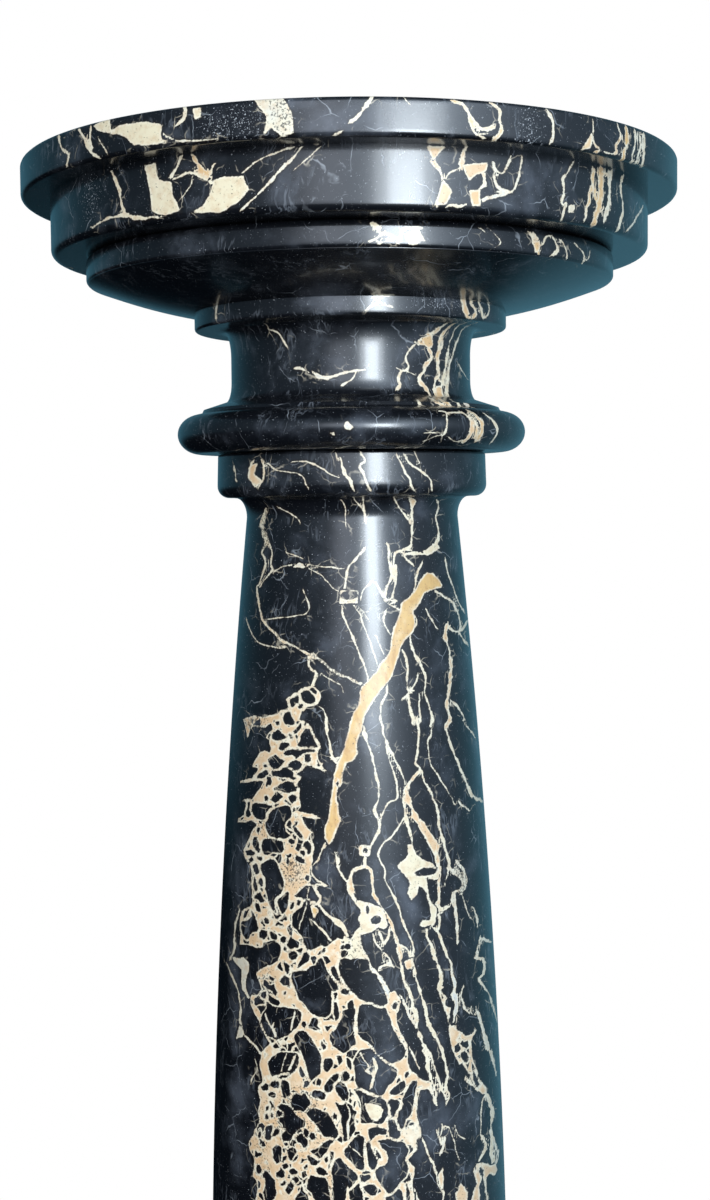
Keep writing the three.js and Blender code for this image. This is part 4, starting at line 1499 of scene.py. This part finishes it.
# %% Edge of the drawn veins
def drawn_edge(stone, broad, slow, bent):
    """The lower of two distances: to the lines, and to the patches less their small islands."""
    side, reach = stone.stored("line_side").math("ABSOLUTE"), stone.stored("line_reach")
    # noise swells and pinches a line, which is a quarter thinner than drawn on the whole
    half = stone.stored("line_half") * (0.74 + broad * 2.6 + slow * 1.2)
    # the signed distance keeps the sides straight, and the plain one closes the ends
    line = side.math("MAXIMUM", reach - 0.6) - half
    region = stone.stored("region") + broad * 0.8
    # islands stay half a millimetre inside a patch's border
    islands = stone.thick_walls(5.2, bent, thin=0.35, swell=2.4, blot=9.0, low=-0.16, high=0.2)
    islands = islands.math("MINIMUM", -0.55 - region) - (1 - stone.stored("lace")) * FAR
    return line.math("MINIMUM", region.math("MAXIMUM", islands))


# %% Edge of the grown veins
def grown_edge(stone, swirled):
    """The lower of two distances: to long strands, and to patches of net."""
    bands = stone.upright(stone.warped(26.0, 26.0), 0.6)
    strands = stone.thick_walls(40.0, bands, thin=0.3, swell=1.8, blot=16.0, low=-0.1, high=0.3)
    no_strand = stone.ramp(stone.noise(46.0), 0.0, 0.14)
    meshes = stone.upright(swirled, 0.75)
    nets = stone.thick_walls(12.0, meshes, thin=0.25, swell=1.5, blot=10.0, low=-0.1, high=0.25)
    no_net = 1 - stone.ramp(stone.noise(75.0) + stone.stored("lace") * 0.3, 0.08, 0.2)
    return (strands + no_strand * FAR).math("MINIMUM", nets + no_net * FAR)


# %% [markdown]
# ### The two stones
#
# The ground is nearly black. Over it lie, in this order, soft blue grey clouds, which on the capital also
# carry a painted reflection sheen, wisps drawn out along the column, hairline cracks, white dust, a dark
# brown rim round every vein, and short barbs where a vein frays into the black. The light stone turns from
# white to cream, peach and ochre with its tint, is palest at its rim, and carries brown mottling, pale blots,
# ochre streaks and black specks.
#
# Each of these is a layer: a share from 0 to 1 and a colour, mixed over what lies below.

# %% Layers
def layered(stone, below, layers):
    """Mixes (share, colour) layers over a colour, in their order."""
    for share, shade in layers:
        below = stone.mix(share, below, shade)
    return below


def dark_ground(stone, edge, slow, bent, swirled, flow):
    """The black stone between the veins."""
    # clouds come from noise and from the stored spots; on the capital some of these spots are a painted
    # reflection sheen, pale grey laid into the colour
    cloud = stone.ramp(stone.noise(24.0, 5.0, 0.62, flow) + stone.stored("cloud") * 0.3, 0.0, 0.45)
    wisp = stone.noise(7.0, 3.0, 0.6, stone.upright(flow, 0.22)).math("ABSOLUTE")
    wisp = (1 - stone.ramp(wisp, 0.0, 0.035)) * stone.ramp(slow, 0.0, 0.2)
    crack = 1 - stone.ramp(stone.cells(21.0, swirled), 0.03, 0.25)
    crack = crack * stone.ramp(stone.noise(11.0) + stone.stored("cloud") * 0.2, 0.0, 0.18)
    dust = stone.ramp(stone.noise(0.7, 2.0, 0.6) + stone.stored("grain") * 0.1, 0.17, 0.27)
    halo = 1 - stone.ramp(edge, 0.0, 1.4)
    barb = 1 - stone.ramp(stone.cells(9.0, bent), 0.06, 0.3)
    barb = barb * (1 - stone.ramp(edge, 0.6, 5.0)) * stone.ramp(stone.noise(7.0), 0.0, 0.12)
    return layered(stone, BLACK_GROUND, (
        (cloud * 0.62, CLOUD_AND_SHEEN_GREY), (wisp * 0.4, WISP_GREY), (crack * 0.5, CRACK_GREY),
        (dust * 0.7, DUST_GREY), (halo * 0.5, HALO_BROWN), (barb * 0.5, BARB_CREAM)))


def light_stone(stone, edge, broad, wild, flow):
    """The calcite of the veins."""
    tint = stone.stored("tint") + broad * 0.25 + wild * stone.noise(40.0)
    body = layered(stone, WHITE_STONE, (
        (stone.ramp(tint, 0.0, 0.4), CREAM_STONE), (stone.ramp(tint, 0.4, 0.65), PEACH_STONE),
        (stone.ramp(tint, 0.65, 1.0), OCHRE_STONE)))
    # the rim's cream gives way to the tint within about a millimetre
    body = stone.mix(stone.ramp(broad * 1.5 - edge, 0.1, 1.0), RIM_CREAM, body)
    mottle = stone.ramp(stone.noise(3.0, 4.0, 0.65), -0.1, 0.25)
    blot = stone.ramp(stone.noise(9.0, 3.0, 0.6), 0.0, 0.3)
    streak = stone.ramp(stone.noise(2.2, 4.0, 0.7, stone.upright(flow, 0.25)), -0.05, 0.2)
    streak = streak * stone.ramp(tint, 0.7, 0.9)
    speck = stone.ramp(stone.noise(0.9, 2.0, 0.7) + stone.stored("speckle") * 0.16, 0.14, 0.2)
    return layered(stone, body, (
        (mottle * 0.5, MOTTLE_BROWN), (blot * 0.4, BLOT_CREAM), (streak * 0.55, STREAK_OCHRE),
        (speck * 0.85, SPECK_BLACK)))


# %% [markdown]
# ### The polish
#
# Polished marble is smooth stone with a wet looking skin. The black takes the higher polish, and calcite
# stays a little duller, so the roughness rises inside a vein. A thin coat gives the crisp reflection on
# top. The veins are flush with the ground after polishing, so no bump is added.

# %% The marble material
POLISH_OF_BLACK = 0.26
DULLER_IN_VEINS = 0.12
COAT = 0.5
COAT_ROUGHNESS = 0.12


def marble(name):
    """Dark ground and light stone, parted where the edge crosses 0, which fine noise roughens."""
    stone = Stone(name)
    fine, broad, slow = stone.noise(1.3, 3.0, 0.65), stone.noise(5.0, 3.0, 0.6), stone.noise(14.0)
    bent, swirled, flow = stone.warped(4.5, 3.0), stone.warped(8.5, 6.5), stone.warped(30.0, 14.0)
    wild = stone.stored("wild")

    edge = drawn_edge(stone, broad, slow, bent)
    edge = edge.math("MINIMUM", grown_edge(stone, swirled) + (1 - wild) * FAR)
    vein = 1 - stone.ramp(edge + fine * 1.1, -0.2, 0.16)
    ground = dark_ground(stone, edge, slow, bent, swirled, flow)
    light = light_stone(stone, edge, broad, wild, flow)

    stone.plug(stone.mix(vein, ground, light), stone.shader.inputs["Base Color"])
    stone.plug(POLISH_OF_BLACK + vein * DULLER_IN_VEINS, stone.shader.inputs["Roughness"])
    stone.shader.inputs["Coat Weight"].default_value = COAT
    stone.shader.inputs["Coat Roughness"].default_value = COAT_ROUGHNESS
    return stone.material


# %% [markdown]
# ## Putting the stone in place
#
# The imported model's own blocks are coarse, so each finer block stands for its node and rides on the
# column. One material would do for all three, but each block was cut from its own piece of marble, and
# a material of its own lets it be exchanged alone.

# %% Pieces
def place(block, material):
    """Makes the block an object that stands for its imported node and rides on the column."""
    piece = bpy.data.objects.new(block.name + "_marble", block.mesh)
    block.mesh.materials.append(material)
    bpy.context.scene.collection.objects.link(piece)
    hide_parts(block.name)
    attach(piece, "root")
    print(piece.name, "stands for", block.name, "with", len(material.node_tree.nodes), "nodes")


for block in (capital, shaft, base):
    place(block, marble(block.name + " marble"))

# %% [markdown]
# ## Floor, surroundings and lights
#
# Black polish shows little but what it reflects. So most of the column's look is a bright window in front
# and a little to the right, a dim blue green room at its sides, and darkness below. The camera itself sees
# plain white. The floor is pale and kept out of the reflections, since it would lighten every underside.

# %% Floor
FLOOR_RADIUS = 1.1
FLOOR_CORNERS = 96


def floor_disc():
    """A flat disc, from one ring of points round its middle."""
    angle = np.linspace(0, 2 * math.pi, FLOOR_CORNERS, endpoint=False)
    rim = np.stack([np.cos(angle), np.sin(angle), np.zeros(FLOOR_CORNERS)], axis=1) * FLOOR_RADIUS
    mesh = bpy.data.meshes.new("floor")
    mesh.from_pydata(rim.tolist(), [], [list(range(FLOOR_CORNERS))])
    return bpy.data.objects.new("floor", mesh)


floor = floor_disc()
bpy.context.scene.collection.objects.link(floor)
pale = bpy.data.materials.new("pale floor")
pale.use_nodes = True
pale.node_tree.nodes["Principled BSDF"].inputs["Base Color"].default_value = (0.8, 0.8, 0.8, 1)
pale.node_tree.nodes["Principled BSDF"].inputs["Roughness"].default_value = 0.7
floor.data.materials.append(pale)
floor.visible_glossy = False
floor.visible_diffuse = False


# %% Surroundings
def bearing(azimuth, elevation):
    """A direction from the column: degrees to the right of the camera's side, and degrees up."""
    a, e = math.radians(azimuth), math.radians(elevation)
    return (math.sin(a) * math.cos(e), -math.cos(a) * math.cos(e), math.sin(e))


SURROUNDINGS = (
    # what it is, bearing and height in degrees, how narrow, colour
    ("glow above the key light", 34, 20, 14.0, (2.1, 2.5, 3.0, 1)),
    ("glow above, left", -8, 12, 46.0, (2.4, 2.6, 3.0, 1)),
    ("halo of the key light", 19, 8, 30.0, (1.2, 1.5, 1.9, 1)),
    ("right of the camera", 70, 10, 4.0, (0.28, 0.36, 0.46, 1)),
    ("left of the camera", -25, 12, 3.0, (0.16, 0.19, 0.23, 1)),
    ("behind, right", 142, -4, 3.0, (0.05, 0.20, 0.27, 1)),
    ("behind, left", -145, 6, 5.0, (0.004, 0.085, 0.125, 1)),
)
DIM_ROOM = (0.05, 0.085, 0.115, 1)
DARK_BELOW = (0.002, 0.004, 0.007, 1)
NOTHING = (0, 0, 0, 1)
PLAIN_WHITE = (1, 1, 1, 1)


def surroundings():
    """White for the camera. For reflections, a sum of soft lobes (direction . bearing) ^ narrowness."""
    world = bpy.data.worlds.new("studio")
    bpy.context.scene.world = world
    world.use_nodes = True
    world.node_tree.nodes.clear()
    air = Recipe(world.node_tree)
    direction = air.node("ShaderNodeTexCoord").outputs["Generated"]
    total = DIM_ROOM
    for name, azimuth, elevation, narrow, shade in SURROUNDINGS:
        toward = air.vector("DOT_PRODUCT", direction, bearing(azimuth, elevation))
        lobe = Value(air, toward.outputs["Value"]).math("MAXIMUM", 0.0) ** narrow
        total = air.mix(1.0, total, air.mix(lobe, NOTHING, shade), "ADD")
        print("reflected:", name)
    parts = air.node("ShaderNodeSeparateXYZ", None, {0: direction}).outputs
    right, up = Value(air, parts["X"]), Value(air, parts["Z"])
    # the dark below reaches less high on the right
    above_floor = air.ramp(up + air.ramp(right, 0.0, 0.4) * 0.6, -0.22, 0.0)
    total = air.mix(above_floor, DARK_BELOW, total)
    reflected = air.node("ShaderNodeBackground", None, {"Color": total})
    seen = air.node("ShaderNodeBackground", None, {"Color": PLAIN_WHITE})
    camera_ray = air.node("ShaderNodeLightPath").outputs["Is Camera Ray"]
    both = {0: camera_ray, 1: reflected.outputs[0], 2: seen.outputs[0]}
    blend = air.node("ShaderNodeMixShader", None, both)
    air.node("ShaderNodeOutputWorld", None, {"Surface": blend.outputs[0]})


surroundings()
bpy.context.scene.view_settings.view_transform = "Standard"


# %% Lights
def panel(name, azimuth, height_above_floor, distance, width, height, power, glossy=True, shade=(1, 1, 1)):
    """A soft upright panel that faces the column's axis, at a bearing in degrees right of the camera."""
    a = math.radians(azimuth)
    light = bpy.data.lights.new(name, "AREA")
    light.shape = "RECTANGLE"
    light.size, light.size_y = width, height
    light.energy = power
    light.color = shade
    lamp = bpy.data.objects.new(name, light)
    bpy.context.scene.collection.objects.link(lamp)
    where = (math.sin(a) * distance, -math.cos(a) * distance, height_above_floor)
    facing = Matrix.Rotation(a, 4, "Z") @ Matrix.Rotation(math.pi / 2, 4, "X")
    lamp.matrix_world = Matrix.Translation(where) @ facing
    lamp.visible_glossy = glossy
    print("light:", name, power, "W")


SKY = (0.86, 0.94, 1.0)
# bearing, height above the floor, distance, width, height, watts
panel("key", 19.5, 1.16, 1.6, 0.34, 0.40, 7, shade=SKY)
panel("key edge", 19.5, 1.14, 1.62, 0.62, 0.64, 8, shade=SKY)
panel("fill", -15, 0.95, 2.0, 2.2, 1.8, 36, glossy=False)
panel("back fill", 172, 0.95, 2.4, 2.2, 1.8, 30, glossy=False)
